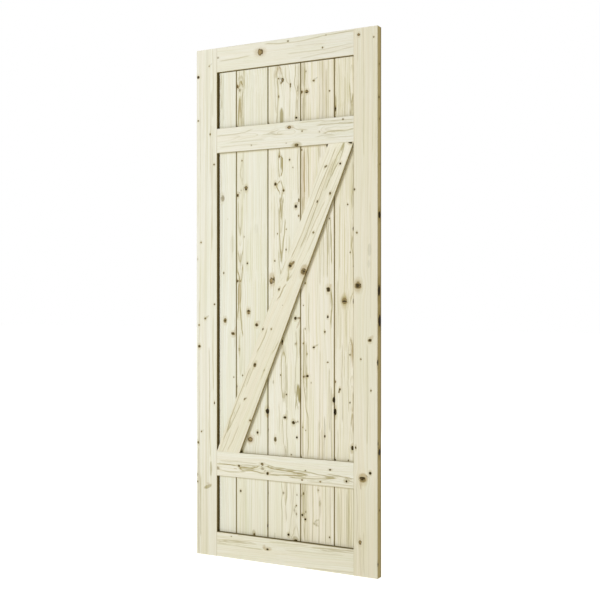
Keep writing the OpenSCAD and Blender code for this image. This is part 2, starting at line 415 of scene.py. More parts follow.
def timber(name, section, thick, ends, place, heart, knots, stains_and_shade, flames, screws=(), pits=(),
           plates=(), shear=0.0):
    """A piece of timber: its outline carried along its length, as a grid of points around and
    along. place is its middle line (x, y of its front, z) and its lean from upright. Tenons and
    end tongues are plates, and shear slants both ends. The points keep where they lie in the
    tree, the nearest knot and its kind, the stain colours, the drawn ring lines, and the painted
    shade and end grain: painted shade, the side face that takes painted shade, and sawn end."""
    around = outline_points(section, thick, screws, pits)
    rows = row_places(ends, screws, pits)
    faces = tube_faces(len(rows), len(around))
    along = np.repeat(rows, len(around))
    across, depth, shade, side = np.tile(around, (len(rows), 1)).T
    sawn = ((along == ends[0]) | (along == ends[1])).astype(float)
    shade, side = shade * (1 - sawn), side * (1 - sawn)
    back = depth > thick - HAIR
    along, across, depth = sunk_screws(along, across, depth, back, screws)
    depth = pitted(along, across, depth, depth < PIT_SKIN, pits)

    boxes = np.array(plates, float).reshape(-1, 2, 3)
    corners = (boxes[:, :1] + (boxes[:, 1:] - boxes[:, :1]) * BOX_CORNERS).reshape(-1, 3)
    for number in range(len(boxes)):
        faces += (BOX_SIDES + len(along) + 8 * number).tolist()
    along, across, depth = (
        np.append(old, new) for old, new in zip((along, across, depth), corners.T)
    )
    # Tenons and end tongues take full painted shade
    shade = np.append(shade, np.ones(len(corners)))
    side, sawn = (np.append(old, np.zeros(len(corners))) for old in (side, sawn))

    along = along + shear * across
    x, y, z, lean = place
    rise, run = math.cos(math.radians(lean)), math.sin(math.radians(lean))
    points = [x + along * run + across * rise, y + depth, z + along * rise - across * run]
    mesh = bpy.data.meshes.new(name)
    mesh.from_pydata((np.stack(points, 1) * MM).tolist(), [], faces)
    way, kind = knots_at(along, across, depth, knots)
    tints = stains_and_shade_at(along, across, stains_and_shade)
    # The shade rows add painted shade to the front and the side face, but not to sawn ends
    shade = shade + tints[:, 3] * ((depth < FACE_DEPTH) | (side > 0)) * (1 - sawn)
    fields = {
        "grain": grain_of(along, across, depth, heart, knots),
        "knot": way,
        "knot_kind": kind,
        "stain": tints[:, :3],
        "figure": flames_at(along, across, depth, flames),
        "painted_shade_and_end_grain": np.column_stack([shade, side, sawn]),
    }
    for label, values in fields.items():
        held = mesh.attributes.new(label, "FLOAT_VECTOR", "POINT")
        held.data.foreach_set("vector", values.astype(np.float32).ravel())
    mesh.shade_smooth()
    mesh.set_sharp_from_angle(angle=math.radians(SHARP_FROM))
    made = bpy.data.objects.new(name, mesh)
    scene.collection.objects.link(made)
    return made


def put(tree, socket, value):
    """Gives a socket a value, or joins another node's output to it."""
    if isinstance(value, bpy.types.NodeSocket):
        tree.links.new(value, socket)
    else:
        socket.default_value = value


def node(tree, kind, sockets, output=0, **settings):
    """A new shader node with its settings and sockets filled in, and one of its outputs."""
    made = tree.nodes.new("ShaderNode" + kind)
    for label, value in settings.items():
        setattr(made, label, value)
    for label, value in sockets.items():
        put(tree, made.inputs[label], value)
    return made.outputs[output]


def sums(tree, operation, *values, clamp=False):
    """One step of arithmetic on values."""
    made = tree.nodes.new("ShaderNodeMath")
    made.operation = operation
    made.use_clamp = clamp
    for socket, value in zip(made.inputs, values):
        put(tree, socket, value)
    return made.outputs[0]


def times(tree, first, second, clamp=False):
    """Two values multiplied."""
    return sums(tree, "MULTIPLY", first, second, clamp=clamp)


def ramp(tree, value, low, high, to_low=0.0, to_high=1.0):
    """A smooth step of a value between two limits."""
    return node(tree, "MapRange", {
        "Value": value, "From Min": low, "From Max": high, "To Min": to_low, "To Max": to_high,
    }, interpolation_type="SMOOTHSTEP")


def blend(tree, share, first, second, way="MIX"):
    """Two colours mixed by a share, or the first multiplied by a share of the second."""
    return node(tree, "Mix", {0: share, 6: first, 7: second}, 2, data_type="RGBA", blend_type=way)


def split(tree, vector):
    """The three parts of a vector."""
    return node(tree, "SeparateXYZ", {0: vector}).node.outputs


def length_of(tree, vector, weights):
    """The length of a vector after each of its parts is multiplied by a weight."""
    weighed = node(tree, "VectorMath", {0: vector, 1: weights}, operation="MULTIPLY")
    return node(tree, "VectorMath", {0: weighed}, 1, operation="LENGTH")


def noise(tree, place, scale, detail):
    """Soft noise at a place."""
    return node(tree, "TexNoise", {"Vector": place, "Scale": scale, "Detail": detail})


def stretched(tree, place, size):
    """A place measured in its own unit along each axis, in millimetres of the timber."""
    return node(tree, "VectorMath", {0: place, 1: tuple(1 / s for s in size)}, operation="MULTIPLY")


def wood_noise(tree, place, size, detail=2.0, scale=1.0):
    """Soft noise whose grain has a size in millimetres along each axis of the timber."""
    return noise(tree, stretched(tree, place, size), scale, detail)


def node_group(name, inputs, outputs):
    """An empty node group with named sockets: its tree, its inputs and its outputs."""
    tree = bpy.data.node_groups.new(name, "ShaderNodeTree")
    for label, kind, value in inputs:
        socket = tree.interface.new_socket(label, in_out="INPUT", socket_type="NodeSocket" + kind)
        socket.default_value = value
    for label, kind in outputs:
        tree.interface.new_socket(label, in_out="OUTPUT", socket_type="NodeSocket" + kind)
    return tree, tree.nodes.new("NodeGroupInput").outputs, tree.nodes.new("NodeGroupOutput").inputs


NOWHERE = (0, 0, 0)

# Yearly rings: distance from the heart in ring widths, each ring pale and then turning darker to
# a sharp edge, and every ring with a strength of its own. A ring that lies flat to the face
# shows more than one that stands square to it.
RING_WANDER = 5.0
tree, given, gives = node_group(
    "yearly rings",
    [("Grain", "Vector", NOWHERE), ("Ring Width", "Float", 4.5), ("Seed", "Float", 0.0)],
    [("Late Wood", "Float"), ("Ring Edge", "Float"), ("Ring Tone", "Float")],
)
place = stretched(tree, given["Grain"], (26, 40, 420))
place = node(tree, "VectorMath", {0: place, 1: given["Seed"]}, operation="ADD")
wander = sums(tree, "SUBTRACT", noise(tree, place, 1.0, 1.5), 0.5)
distance = length_of(tree, given["Grain"], (1, 1, 0))
distance = sums(tree, "MULTIPLY_ADD", wander, RING_WANDER, distance)
rings = sums(tree, "DIVIDE", distance, given["Ring Width"])
spread = node(tree, "TexNoise", {
    "W": times(tree, rings, 0.45), "Scale": 1.0, "Detail": 0.0,
}, noise_dimensions="1D")
rings = sums(tree, "MULTIPLY_ADD", spread, 2.2, rings)
rings = sums(tree, "ADD", rings, times(tree, given["Seed"], 3.7))
part = sums(tree, "FRACT", rings)
strength = node(tree, "TexWhiteNoise", {"W": sums(tree, "FLOOR", rings)}, noise_dimensions="1D")
in_depth = sums(tree, "ABSOLUTE", split(tree, given["Grain"])[1])
flatness = ramp(tree, sums(tree, "DIVIDE", in_depth, distance), 0.3, 0.95, 0.4, 1.0)
fall = ramp(tree, part, 0.955, 1.0, 1.0, 0.0)
late = times(tree, sums(tree, "POWER", ramp(tree, part, 0.3, 0.95), 1.5), fall)
late = times(tree, late, sums(tree, "MULTIPLY_ADD", strength, 0.6, 0.4))
put(tree, gives["Late Wood"], times(tree, late, flatness))
edge = times(tree, ramp(tree, part, 0.66, 0.90), fall)
edge = times(tree, edge, ramp(tree, strength, 0.0, 0.8, 0.25, 1.0))
put(tree, gives["Ring Edge"], times(tree, edge, flatness))
put(tree, gives["Ring Tone"], strength)

# Fibre: fine hairs, broader streaks, pencil lines and slow clouds of tone, all drawn out along
# the grain
tree, given, gives = node_group(
    "planed fibre",
    [("Grain", "Vector", NOWHERE), ("Seed", "Float", 0.0)],
    [("Hair", "Float"), ("Streak", "Float"), ("Pencil", "Float"), ("Cloud", "Float"),
     ("Blush", "Float")],
)
shift = node(tree, "CombineXYZ", {
    "X": times(tree, given["Seed"], 37.0), "Z": times(tree, given["Seed"], 290.0),
})
moved = node(tree, "VectorMath", {0: given["Grain"], 1: shift}, operation="ADD")
put(tree, gives["Hair"], wood_noise(tree, moved, (0.7, 0.9, 60)))
put(tree, gives["Streak"], wood_noise(tree, moved, (4.5, 9, 520), 3.0))
put(tree, gives["Pencil"], ramp(tree, wood_noise(tree, moved, (2.4, 6, 480), 1.0), 0.60, 0.72))
put(tree, gives["Cloud"], wood_noise(tree, moved, (55, 60, 420)))
put(tree, gives["Blush"], wood_noise(tree, moved, (22, 50, 700), 2.0, 1.3))

# Flames: the drawn ring lines, wavering a little and here and there paler, in a soft glow
tree, given, gives = node_group(
    "flames",
    [("Flame", "Vector", (99, 0, 0)), ("Grain", "Vector", NOWHERE)],
    [("Line", "Float"), ("Glow", "Float")],
)
off, power = split(tree, given["Flame"])[:2]
waver = sums(tree, "SUBTRACT", wood_noise(tree, given["Grain"], (9, 9, 34)), 0.5)
near = sums(tree, "ABSOLUTE", sums(tree, "MULTIPLY_ADD", waver, 3.0, off))
broken = ramp(tree, wood_noise(tree, given["Grain"], (5, 5, 90)), 0.3, 0.6, 0.55, 1.0)
line = times(tree, ramp(tree, near, 1.2, 3.0, 1.0, 0.0), broken)
put(tree, gives["Line"], times(tree, line, power))
put(tree, gives["Glow"], times(tree, ramp(tree, near, 0.5, 6.0, 1.0, 0.0), power))

# Knots: the way to the nearest knot gives its ragged body, a core or a dark rim, growth rings
# inside it, and a halo in the wood around it, drawn out along the grain
tree, given, gives = node_group(
    "knots",
    [("Knot", "Vector", (9, 9, 0)), ("Kind", "Vector", NOWHERE), ("Grain", "Vector", NOWHERE)],
    [("Body", "Float"), ("Core", "Float"), ("Halo", "Float"), ("Inside", "Float")],
)
weight = split(tree, given["Knot"])[2]
ringed = split(tree, given["Kind"])[2]
rough = sums(tree, "SUBTRACT", wood_noise(tree, given["Grain"], (5, 5, 7), 3.0), 0.5)
ragged = sums(tree, "MULTIPLY_ADD", rough, 0.9, length_of(tree, given["Knot"], (1, 1, 0)))
body = times(tree, ramp(tree, ragged, 0.78, 1.0, 1.0, 0.0), ramp(tree, weight, 0.15, 0.6))
put(tree, gives["Body"], body)
patchy = sums(tree, "SUBTRACT", wood_noise(tree, given["Grain"], (6, 6, 8)), 0.5)
middle = sums(tree, "MULTIPLY_ADD", patchy, 2.8, ragged)
rim = times(tree, sums(tree, "ABSOLUTE", sums(tree, "SUBTRACT", ragged, 0.76)), 3.0)
rim = sums(tree, "MULTIPLY_ADD", patchy, -1.6, rim)
darkest = node(tree, "Mix", {0: ringed, 2: middle, 3: rim})
put(tree, gives["Core"], times(tree, ramp(tree, darkest, 0.35, 0.8, 1.0, 0.0), body))
drawn_out = length_of(tree, given["Knot"], (1, 0.55, 0))
halo = ramp(tree, sums(tree, "MULTIPLY_ADD", rough, 0.9, drawn_out), 0.5, 1.9, 1.0, 0.0)
put(tree, gives["Halo"], times(tree, halo, ramp(tree, weight, 0.0, 0.5)))
waves = sums(tree, "SINE", times(tree, ragged, 15.0))
speckle = ramp(tree, wood_noise(tree, given["Grain"], (2.2, 2.2, 2.6)), 0.35, 0.65)
put(tree, gives["Inside"], times(tree, sums(tree, "MULTIPLY_ADD", waves, 0.35, 0.65), speckle))

# The colours of planed spruce laid over one another: late wood, streaks and clouds, ring lines,
# stain colours, knots, the darker tone of sawn end grain, and painted shade in grooves, joints
# and recesses, under the rails and the brace, and on the right stile's outer side face
BLUSH_TINT = (1.01, 0.975, 0.95, 1)
CLOUD_TINT = (0.955, 0.965, 0.90, 1)
STREAK_TINT = (0.82, 0.80, 0.58, 1)
RING_TINT = (0.86, 0.82, 0.68, 1)
PENCIL_LINE = (0.48, 0.43, 0.19, 1)
LATE_WOOD = (0.65, 0.61, 0.36, 1)
RING_EDGE = (0.275, 0.23, 0.078, 1)
LINE_GLOW = (0.595, 0.535, 0.22, 1)
OLIVE_LINE, BROWN_LINE = (0.295, 0.24, 0.067, 1), (0.28, 0.195, 0.065, 1)
# The olive, the brown and the grey stain, each with its power
STAINS = (
    ((0.325, 0.275, 0.1, 1), 1.0),
    ((0.40, 0.285, 0.12, 1), 1.05),
    ((0.36, 0.34, 0.24, 1), 1.0),
)
OLIVE_HALO, RUSTY_HALO = (0.44, 0.375, 0.15, 1), (0.47, 0.35, 0.15, 1)
OLIVE_KNOT, RUSTY_KNOT = (0.28, 0.225, 0.085, 1), (0.36, 0.265, 0.12, 1)
KNOT_RINGS = (0.15, 0.11, 0.05, 1)
DEAD_KNOT = (0.035, 0.023, 0.005, 1)
KNOT_CORE = (0.042, 0.028, 0.006, 1)
# Painted shade that multiplies the right stile's outer side face, darker and warmer
SIDE_FACE_SHADE = (0.745, 0.66, 0.40, 1)
SAWN_TINT = (0.92, 0.85, 0.69, 1)
# How much red, green and blue are left where the shade is full
GROOVE_SHADE = {"Red": 0.165, "Green": 0.123, "Blue": 0.043}

tree, given, gives = node_group(
    "spruce colours",
    [("Pale", "Color", (0.8, 0.78, 0.66, 1)), ("Late Strength", "Float", 0.5),
     ("Streakiness", "Float", 0.5), ("Stain", "Vector", NOWHERE), ("Flame", "Vector", NOWHERE),
     ("Kind", "Vector", NOWHERE), ("Painted Shade And End Grain", "Vector", NOWHERE)]
    + [(label, "Float", 0.0) for label in (
        "Late Wood", "Ring Edge", "Ring Tone", "Hair", "Streak", "Pencil", "Cloud", "Blush",
        "Line", "Glow", "Body", "Core", "Halo", "Inside",
    )],
    [("Color", "Color"), ("Roughness", "Float"), ("Height", "Float")],
)
blush = ramp(tree, given["Blush"], 0.35, 0.7, 0.0, 0.55)
colour = blend(tree, blush, given["Pale"], BLUSH_TINT, "MULTIPLY")
cloud = ramp(tree, given["Cloud"], 0.4, 0.75, 0.0, 0.6)
colour = blend(tree, cloud, colour, CLOUD_TINT, "MULTIPLY")
streak = times(tree, ramp(tree, given["Streak"], 0.45, 0.72), given["Streakiness"])
colour = blend(tree, streak, colour, STREAK_TINT, "MULTIPLY")
pencil = times(tree, times(tree, given["Pencil"], given["Streakiness"]), 0.7)
colour = blend(tree, pencil, colour, PENCIL_LINE)
colour = blend(tree, times(tree, given["Ring Tone"], 0.16), colour, RING_TINT, "MULTIPLY")

stain = split(tree, given["Stain"])
late = times(tree, given["Late Wood"], given["Late Strength"])
colour = blend(tree, late, colour, LATE_WOOD)
strong = times(tree, given["Late Strength"], sums(tree, "MULTIPLY_ADD", stain[0], 2.0, 1.0))
edge = times(tree, times(tree, given["Ring Edge"], strong), 0.9)
colour = blend(tree, sums(tree, "MINIMUM", edge, 0.95), colour, RING_EDGE)
colour = blend(tree, times(tree, given["Glow"], 0.32), colour, LINE_GLOW)
line_colour = blend(tree, split(tree, given["Flame"])[2], OLIVE_LINE, BROWN_LINE)
colour = blend(tree, given["Line"], colour, line_colour)
hair = ramp(tree, given["Hair"], 0.3, 0.7, 0.965, 1.02)
hair_tint = node(tree, "CombineColor", {
    "Red": hair, "Green": hair, "Blue": sums(tree, "POWER", hair, 1.6),
})
colour = blend(tree, 1.0, colour, hair_tint, "MULTIPLY")

uneven = sums(tree, "ADD", given["Streak"], times(tree, given["Hair"], 0.5))
uneven = ramp(tree, uneven, 0.5, 0.95, 0.7, 1.0)
for share, (stain_colour, power) in zip(stain, STAINS):
    share = times(tree, times(tree, share, power), uneven, clamp=True)
    colour = blend(tree, share, colour, stain_colour)

dark, rusty = split(tree, given["Kind"])[:2]
halo = times(tree, given["Halo"], sums(tree, "MULTIPLY_ADD", dark, 0.36, 0.14))
colour = blend(tree, halo, colour, blend(tree, rusty, OLIVE_HALO, RUSTY_HALO))
knot_wood = blend(tree, rusty, OLIVE_KNOT, RUSTY_KNOT)
knot_wood = blend(tree, times(tree, given["Inside"], 0.6), knot_wood, KNOT_RINGS)
knot_wood = blend(tree, ramp(tree, dark, 0.5, 1.0, 0.0, 0.95), knot_wood, DEAD_KNOT)
body = times(tree, given["Body"], ramp(tree, dark, 0.0, 0.4, 0.3, 1.0))
colour = blend(tree, body, colour, knot_wood)
core = times(tree, given["Core"], ramp(tree, dark, 0.1, 0.6, 0.25, 1.0))
colour = blend(tree, core, colour, KNOT_CORE)

shade, side, sawn = split(tree, given["Painted Shade And End Grain"])
colour = blend(tree, side, colour, SIDE_FACE_SHADE, "MULTIPLY")
colour = blend(tree, sawn, colour, SAWN_TINT, "MULTIPLY")
shade_tint = node(tree, "CombineColor", {
    label: sums(tree, "POWER", left, shade) for label, left in GROOVE_SHADE.items()
})
put(tree, gives["Color"], blend(tree, 1.0, colour, shade_tint, "MULTIPLY"))
rough = sums(tree, "MULTIPLY_ADD", given["Hair"], 0.16, 0.54)
rough = sums(tree, "SUBTRACT", rough, times(tree, given["Body"], 0.14))
put(tree, gives["Roughness"], rough)
height = sums(tree, "MULTIPLY_ADD", given["Hair"], 0.35, times(tree, given["Late Wood"], 0.5))
put(tree, gives["Height"], sums(tree, "SUBTRACT", height, given["Core"]))


def place_group(tree, name, sockets):
    """A node group placed in a material, with its sockets filled in."""
    made = tree.nodes.new("ShaderNodeGroup")
    made.node_tree = bpy.data.node_groups[name]
    for label, value in sockets.items():
        put(tree, made.inputs[label], value)
    return made.outputs


def spruce(name, pale, late_strength, ring_width, streakiness, seed):
    """The finish of one timber: its own pale tint, how strong its late wood is, how wide its rings
    are in millimetres, how streaky it is, and a seed for its luck of the saw."""
    made, tree, shader = new_finish(name)
    kept = {
        label: node(tree, "Attribute", {}, 1, attribute_name=label)
        for label in ("grain", "knot", "knot_kind", "stain", "figure", "painted_shade_and_end_grain")
    }
    grain = {"Grain": kept["grain"]}
    sources = [
        place_group(tree, "yearly rings", {**grain, "Ring Width": ring_width, "Seed": seed}),
        place_group(tree, "planed fibre", {**grain, "Seed": seed}),
        place_group(tree, "flames", {**grain, "Flame": kept["figure"]}),
        place_group(tree, "knots", {**grain, "Knot": kept["knot"], "Kind": kept["knot_kind"]}),
    ]
    sockets = {
        "Pale": (*pale, 1), "Late Strength": late_strength, "Streakiness": streakiness,
        "Stain": kept["stain"], "Flame": kept["figure"], "Kind": kept["knot_kind"],
        "Painted Shade And End Grain": kept["painted_shade_and_end_grain"],
    }
    for source in sources:
        sockets.update({output.name: output for output in source})
    skin = place_group(tree, "spruce colours", sockets)
    put(tree, shader.inputs["Base Color"], skin["Color"])
    put(tree, shader.inputs["Roughness"], skin["Roughness"])
    shader.inputs["Specular IOR Level"].default_value = 0.1
    put(tree, shader.inputs["Normal"], node(tree, "Bump", {
        "Strength": 0.35, "Distance": 0.0004, "Height": skin["Height"],
    }))
    return made


def fit(piece, material, node_name):
    """The piece gets its finish, rides on the door and stands for its plain timber."""
    piece.data.materials.append(material)
    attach(piece, "root")
    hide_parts(node_name)


PALE = (0.815, 0.81, 0.75)

# For each timber, heart says at places along it how far across and how deep behind its face the
# tree's heart lies. A knot is its place along and across, its two radii and its kind, and on a
# narrow side its depth. A stain or painted shade is its place, its two radii, its lean, its
# colour (olive, brown, grey, or shade for painted shade) and its strength. A ring line is its
# strength, how brown it is, and places along it with how far across they lie.
left_stile = timber(
    # Painted shade, dark, on the inner side next to the boards
    "left_stile_timber", bar_section(FRAME_T, inner=0.8), FRAME_T, (0, DOOR_H),
    (-HALF_DOOR + BAR_W / 2, FRONT, 0, 0),
    heart=[(0, -130, -60), (1000, -140, -50), (2134, -125, -64)],
    knots=[
        (2063, 12, 4, 4, "grey"), (2022, -43, 6, 8, "dark"), (1836, -43, 4, 5, "grey"),
        (1775, 17, 6, 4, "grey"), (1646, 37, 4, 5, "grey"), (1320, -29, 4, 5, "grey"),
        (1250, -46, 6, 3, "faint"), (1058, 39, 4, 5, "grey"), (998, -8, 5, 6, "grey"),
        (970, -39, 4, 5, "grey"), (880, -38, 7, 8, "dark"), (643, 39, 6, 3, "dark"),
        (519, -27, 4, 4, "grey"), (472, -43, 7, 5, "grey"), (305, -46, 4, 4, "dark"),
        (335, -46, 8, 3, "faint"),
    ],
    stains_and_shade=[
        (1003, 0, 13, 4, 60, "olive", 0.5), (2068, 20, 9, 3, 55, "grey", 0.35),
        (522, -21, 9, 3, 55, "grey", 0.3), (365, 21, 34, 6, 0, "olive", 0.5),
        (288, 5, 22, 8, 68, "olive", 0.7), (300, 12, 16, 5, 100, "brown", 0.3),
        (300, -40, 330, 3, 0, "olive", 0.5), (1750, -33, 160, 1.5, 0, "olive", 0.32),
        # The shade row is painted shade, darker towards the foot
        (-150, 0, 600, 900, 0, "shade", 0.05),
    ],
    flames=[
        (0.3, 0.3, (1950, 1700, 1500, 1290), (22, 19, 23, 25)),
        (0.22, 0.2, (1800, 1500, 1330), (31, 28, 30)),
        (0.4, 0.3, (870, 700, 560, 420), (12, 15, 13, 17)), (0.25, 0.3, (1000, 850, 700), (32, 30, 33)),
        (0.35, 0.1, (450, 300, 150, 0), (-41, -39, -41, -40)),
        (0.3, 0.1, (1070, 800, 460), (-38, -40, -38)), (0.35, 0.3, (330, 200, 80), (-30, -32, -31)),
        (0.2, 0.2, (2134, 2000, 1850), (30, 33, 31)),
    ],
)
fit(left_stile, spruce("left stile spruce", PALE, 0.3, 4.6, 0.35, 1.0), "left_stile")

right_stile = timber(
    # Painted shade: a little on the inner side, and the outer side face painted darker
    "right_stile_timber", turned_over(bar_section(FRAME_T, inner=0.1, outer=1.0)), FRAME_T,
    (0, DOOR_H), (HALF_DOOR - BAR_W / 2, FRONT, 0, 0),
    heart=[(0, -120, -60), (1000, -132, -52), (2134, -118, -60)],
    knots=[
        (2108, -29, 6, 7, "rust"), (2091, 35, 3, 4, "dark"), (1940, -53, 5, 4, "faint"),
        (1507, -48, 5, 5, "grey"), (1338, -37, 5, 5, "grey"), (1132, -32, 16, 16, "brown"),
        (919, 19, 7, 9, "dark"), (845, -20, 4, 4, "grey"), (833, 51, 13, 6, "black", 3),
        (725, 23, 5, 4, "grey"), (406, 20, 6, 6, "hole"), (378, -12, 12, 16, "brown"),
        (500, -42, 6, 4, "dark"), (133, -23, 9, 7, "rust"), (520, 51, 12, 4, "dark", 4),
        (55, 51, 10, 5, "dark", 4), (1112, 51, 26, 12, "hole", 14), (1404, 51, 15, 12, "hole", 18),
        (1988, 51, 6, 4, "dark", 16), (1859, 51, 6, 5, "black", 14), (1776, 51, 6, 4, "dark", 20),
        (993, 51, 26, 14, "hole", 20), (485, 51, 14, 13, "hole", 18), (1600, 51, 6, 4, "grey", 22),
        (260, 51, 6, 5, "grey", 18),
    ],
    stains_and_shade=[
        (1270, 17, 28, 9, 0, "grey", 0.3), (1215, 14, 18, 6, 0, "grey", 0.25),
        (358, -20, 22, 5, 0, "brown", 0.4), (384, -10, 20, 22, 0, "brown", 0.5),
        (930, 26, 12, 8, 50, "brown", 0.35), (1132, -34, 26, 22, 0, "brown", 0.3),
        # The shade rows are painted shade: darker towards the foot, and on the outer side face below
        # its middle
        (2060, -33, 60, 3, 0, "brown", 0.24), (-150, 0, 600, 900, 0, "shade", 0.04),
        (500, 51, 1000, 2, 0, "shade", 0.1),
    ],
    flames=[
        (0.2, 0.4, (2134, 1950, 1700, 1640), (-10, -8, -9, -7)),
        (0.15, 0.4, (2100, 1900, 1650), (30, 32, 30)), (0.2, 0.5, (160, 80, 0), (-24, -22, -20)),
        (0.2, 0.5, (170, 90, 10), (-8, -9, -6)), (0.25, 0.4, (900, 700, 520), (8, 10, 7)),
        (0.25, 0.5, (360, 250, 130), (-38, -34, -37)), (0.15, 0.4, (1450, 1250, 1000), (20, 22, 21)),
    ],
)
fit(right_stile, spruce("right stile spruce", (0.797, 0.772, 0.67), 0.22, 4.2, 0.28, 2.0),
    "right_stile")

# ---------------------------------------------------------------- the end rails
# The top and bottom rails: the same bar as the stiles, butted between them and grooved for the
# boards' end tongues. A stub tenon at each end sits in the stile's groove, and two dowels in
# each joint hold it tight.

PANEL_HALF = 317
END_RAIL_MIDDLE = 51
TENON_L = 8
TENON_FROM, TENON_TO = 17, 21
LAP = 1


def stub_tenons(low, high):
    """The two tenons of an end rail, between two places across it."""
    return [
        ((-PANEL_HALF - TENON_L, low, TENON_FROM), (-PANEL_HALF + LAP, high, TENON_TO)),
        ((PANEL_HALF - LAP, low, TENON_FROM), (PANEL_HALF + TENON_L, high, TENON_TO)),
    ]


top_rail = timber(
    # Painted shade on the lower edge next to the boards
    "top_rail_timber", bar_section(FRAME_T, inner=0.72), FRAME_T, (-PANEL_HALF, PANEL_HALF),
    (0, FRONT, DOOR_H - END_RAIL_MIDDLE, 90),
    heart=[(-317, -130, 60), (0, -120, 50), (317, -112, 64)],
    knots=[
        (-106, -10, 15, 15, "rust"), (24, -39, 4, 4, "grey"), (181, 6, 4, 4, "grey"),
        (196, -42, 4, 3, "faint"), (-312, -10, 6, 5, "faint"),
    ],
    stains_and_shade=[(-106, -10, 26, 20, 0, "brown", 0.18)],
    flames=[
        (0.4, 0.3, (-80, -10, 80, 135, 205, 317), (-40, -33, -31, -36, -42, -44)),
        (0.35, 0.2, (-300, -237, -160), (5, 4, -1)), (0.25, 0.3, (26, 180, 317), (12, 14, 5)),
        (0.25, 0.3, (85, 200, 317), (37, 30, 19)), (0.2, 0.3, (60, 130, 185), (-15, -13, -11)),
    ],
    plates=stub_tenons(-51, 42),
)
fit(top_rail, spruce("top rail spruce", PALE, 0.17, 4.8, 0.22, 3.0), "top_rail")

bottom_rail = timber(
    # Painted shade on the upper edge next to the boards
    "bottom_rail_timber", turned_over(bar_section(FRAME_T, inner=0.45)), FRAME_T,
    (-PANEL_HALF, PANEL_HALF), (0, FRONT, END_RAIL_MIDDLE, 90),
    heart=[(-317, -44, -30), (-100, -54, -24), (100, -62, -34), (317, -72, -30)],
    knots=[(-72, -6, 7, 5, "dark"), (-246, -39, 4, 3, "faint")],
    stains_and_shade=[(-72, -9, 24, 10, 0, "brown", 0.35), (-88, -15, 10, 7, -50, "brown", 0.4)],
    flames=[
        (0.45, 0.3, (-317, -250, -214, -142), (-17, -22, -24, -25)),
        (0.4, 0.2, (-310, -228, -128), (-12, -17, -21)),
        (0.35, 0.3, (-317, -250, -137, -100), (-2, -3, -2, -1)),
        (0.2, 0.3, (17, 135, 270), (-13, -17, -21)), (0.45, 0.7, (135, 230, 317), (-37, -41, -44)),
        (0.4, 0.5, (180, 250, 317), (-31, -35, -36)), (0.3, 0.3, (100, 200, 317), (48, 44, 40)),
        (0.25, 0.3, (-60, 40, 110), (-38, -40, -42)),
    ],
    plates=stub_tenons(-42, 51),
)
fit(bottom_rail, spruce("bottom rail spruce", (0.77, 0.755, 0.665), 0.35, 4.4, 0.35, 4.0),
    "bottom_rail")

# ---------------------------------------------------------------- the boards
# Five boards of 12 mm spruce stand side by side in the frame, tongued into one another and into
# the grooves all round. A chamfer along each front edge makes the V joints. Screws sunk in the
# back hold the mid rails and the brace.

BOARD_T = 12
BOARD_FRONT = -5.5
BOARD_FOOT, BOARD_HEAD = 104, 2030
CHAMFER = 3
TONGUE = (5, 9)
SLOT = (4.9, 9.1)
FRAME_TONGUE_L, BOARD_TONGUE_L, SLOT_DEPTH, END_TONGUE_L = 12, 8, 8.5, 10
# Painted shade: a joint is darkest in its V, and a chamfer's top edge takes a share of that
JOINT_SHADE, CHAMFER_TOP_SHARE, CHAMFER_HOLD = 0.58, 0.35, 0.6
# Painted shade on the boards' left chamfers, less on the first board's, and on their back edges
LEFT_SHADE, FIRST_LEFT_SHADE = 0.25, 0.1
BACK_EDGE, BACK_EDGE_SHADE = 1, 0.5
RAIL_MIDDLES = (390, 1744)
LOWER_RAIL_MIDDLE, UPPER_RAIL_MIDDLE = RAIL_MIDDLES
RAIL_SCREWS = [(middle + off, 0) for middle in RAIL_MIDDLES for off in (-26, 26)]
RAIL_SHADE_DROP, BRACE_SHADE_DROP = 1, 5
BRACE_MIDDLE = 1067
BRACE_LEAN = 22.69
LEAN_COS, LEAN_SIN = math.cos(math.radians(BRACE_LEAN)), math.sin(math.radians(BRACE_LEAN))


def board_section(left, right, inset, reach, first, last):
    """A board's outline from its front left: chamfers at both front corners, a tongue on the
    right that runs to reach, and on the left a slot as deep as inset, or on the first board a
    tongue."""
    deep = 0.0 if last else JOINT_SHADE
    near, far = TONGUE if first else SLOT
    return [
        (left + CHAMFER + CHAMFER_HOLD, 0, 0, 0),
        (right - CHAMFER - CHAMFER_HOLD, 0, 0, 0),
        (right - CHAMFER, 0, deep * CHAMFER_TOP_SHARE, 0),
        (right, CHAMFER, deep, 0),
        (right, TONGUE[0], 1, 0),
        (reach, TONGUE[0], 1, 0),
        (reach, TONGUE[1], 1, 0),
        (right, TONGUE[1], 1, 0),
        (right, BOARD_T, BACK_EDGE_SHADE, 0),
        (right - BACK_EDGE, BOARD_T, 0, 0),
        (left + BACK_EDGE, BOARD_T, 0, 0),
        (left, BOARD_T, BACK_EDGE_SHADE, 0),
        (left, far, 1, 0),
        (inset, far, 1, 0),
        (inset, near, 1, 0),
        (left, near, 1, 0),
        (left, CHAMFER, FIRST_LEFT_SHADE if first else LEFT_SHADE, 0),
        (left + CHAMFER, 0, 0, 0),
    ]


def painted_board_shade(middle):
    """Painted shade on a board: a painted shadow under each of the two mid rails, painted shade that
    darkens towards its foot and, on all but the first, a painted shadow along the brace's lower
    edge."""
    shades = [
        (UPPER_RAIL_MIDDLE - BAR_W / 2 - RAIL_SHADE_DROP, 0, 400, 6, 90, "shade", 0.16),
        (LOWER_RAIL_MIDDLE - BAR_W / 2 - RAIL_SHADE_DROP, 0, 400, 6, 90, "shade", 0.14),
        (-150, 0, 600, 900, 0, "shade", 0.035),
    ]
    if middle > -200:
        drop = BAR_W / 2 + BRACE_SHADE_DROP
        height = BRACE_MIDDLE + (LEAN_COS * middle - drop) / LEAN_SIN
        shades.append((height, 0, 420, 9, BRACE_LEAN, "shade", 0.16))
    return shades


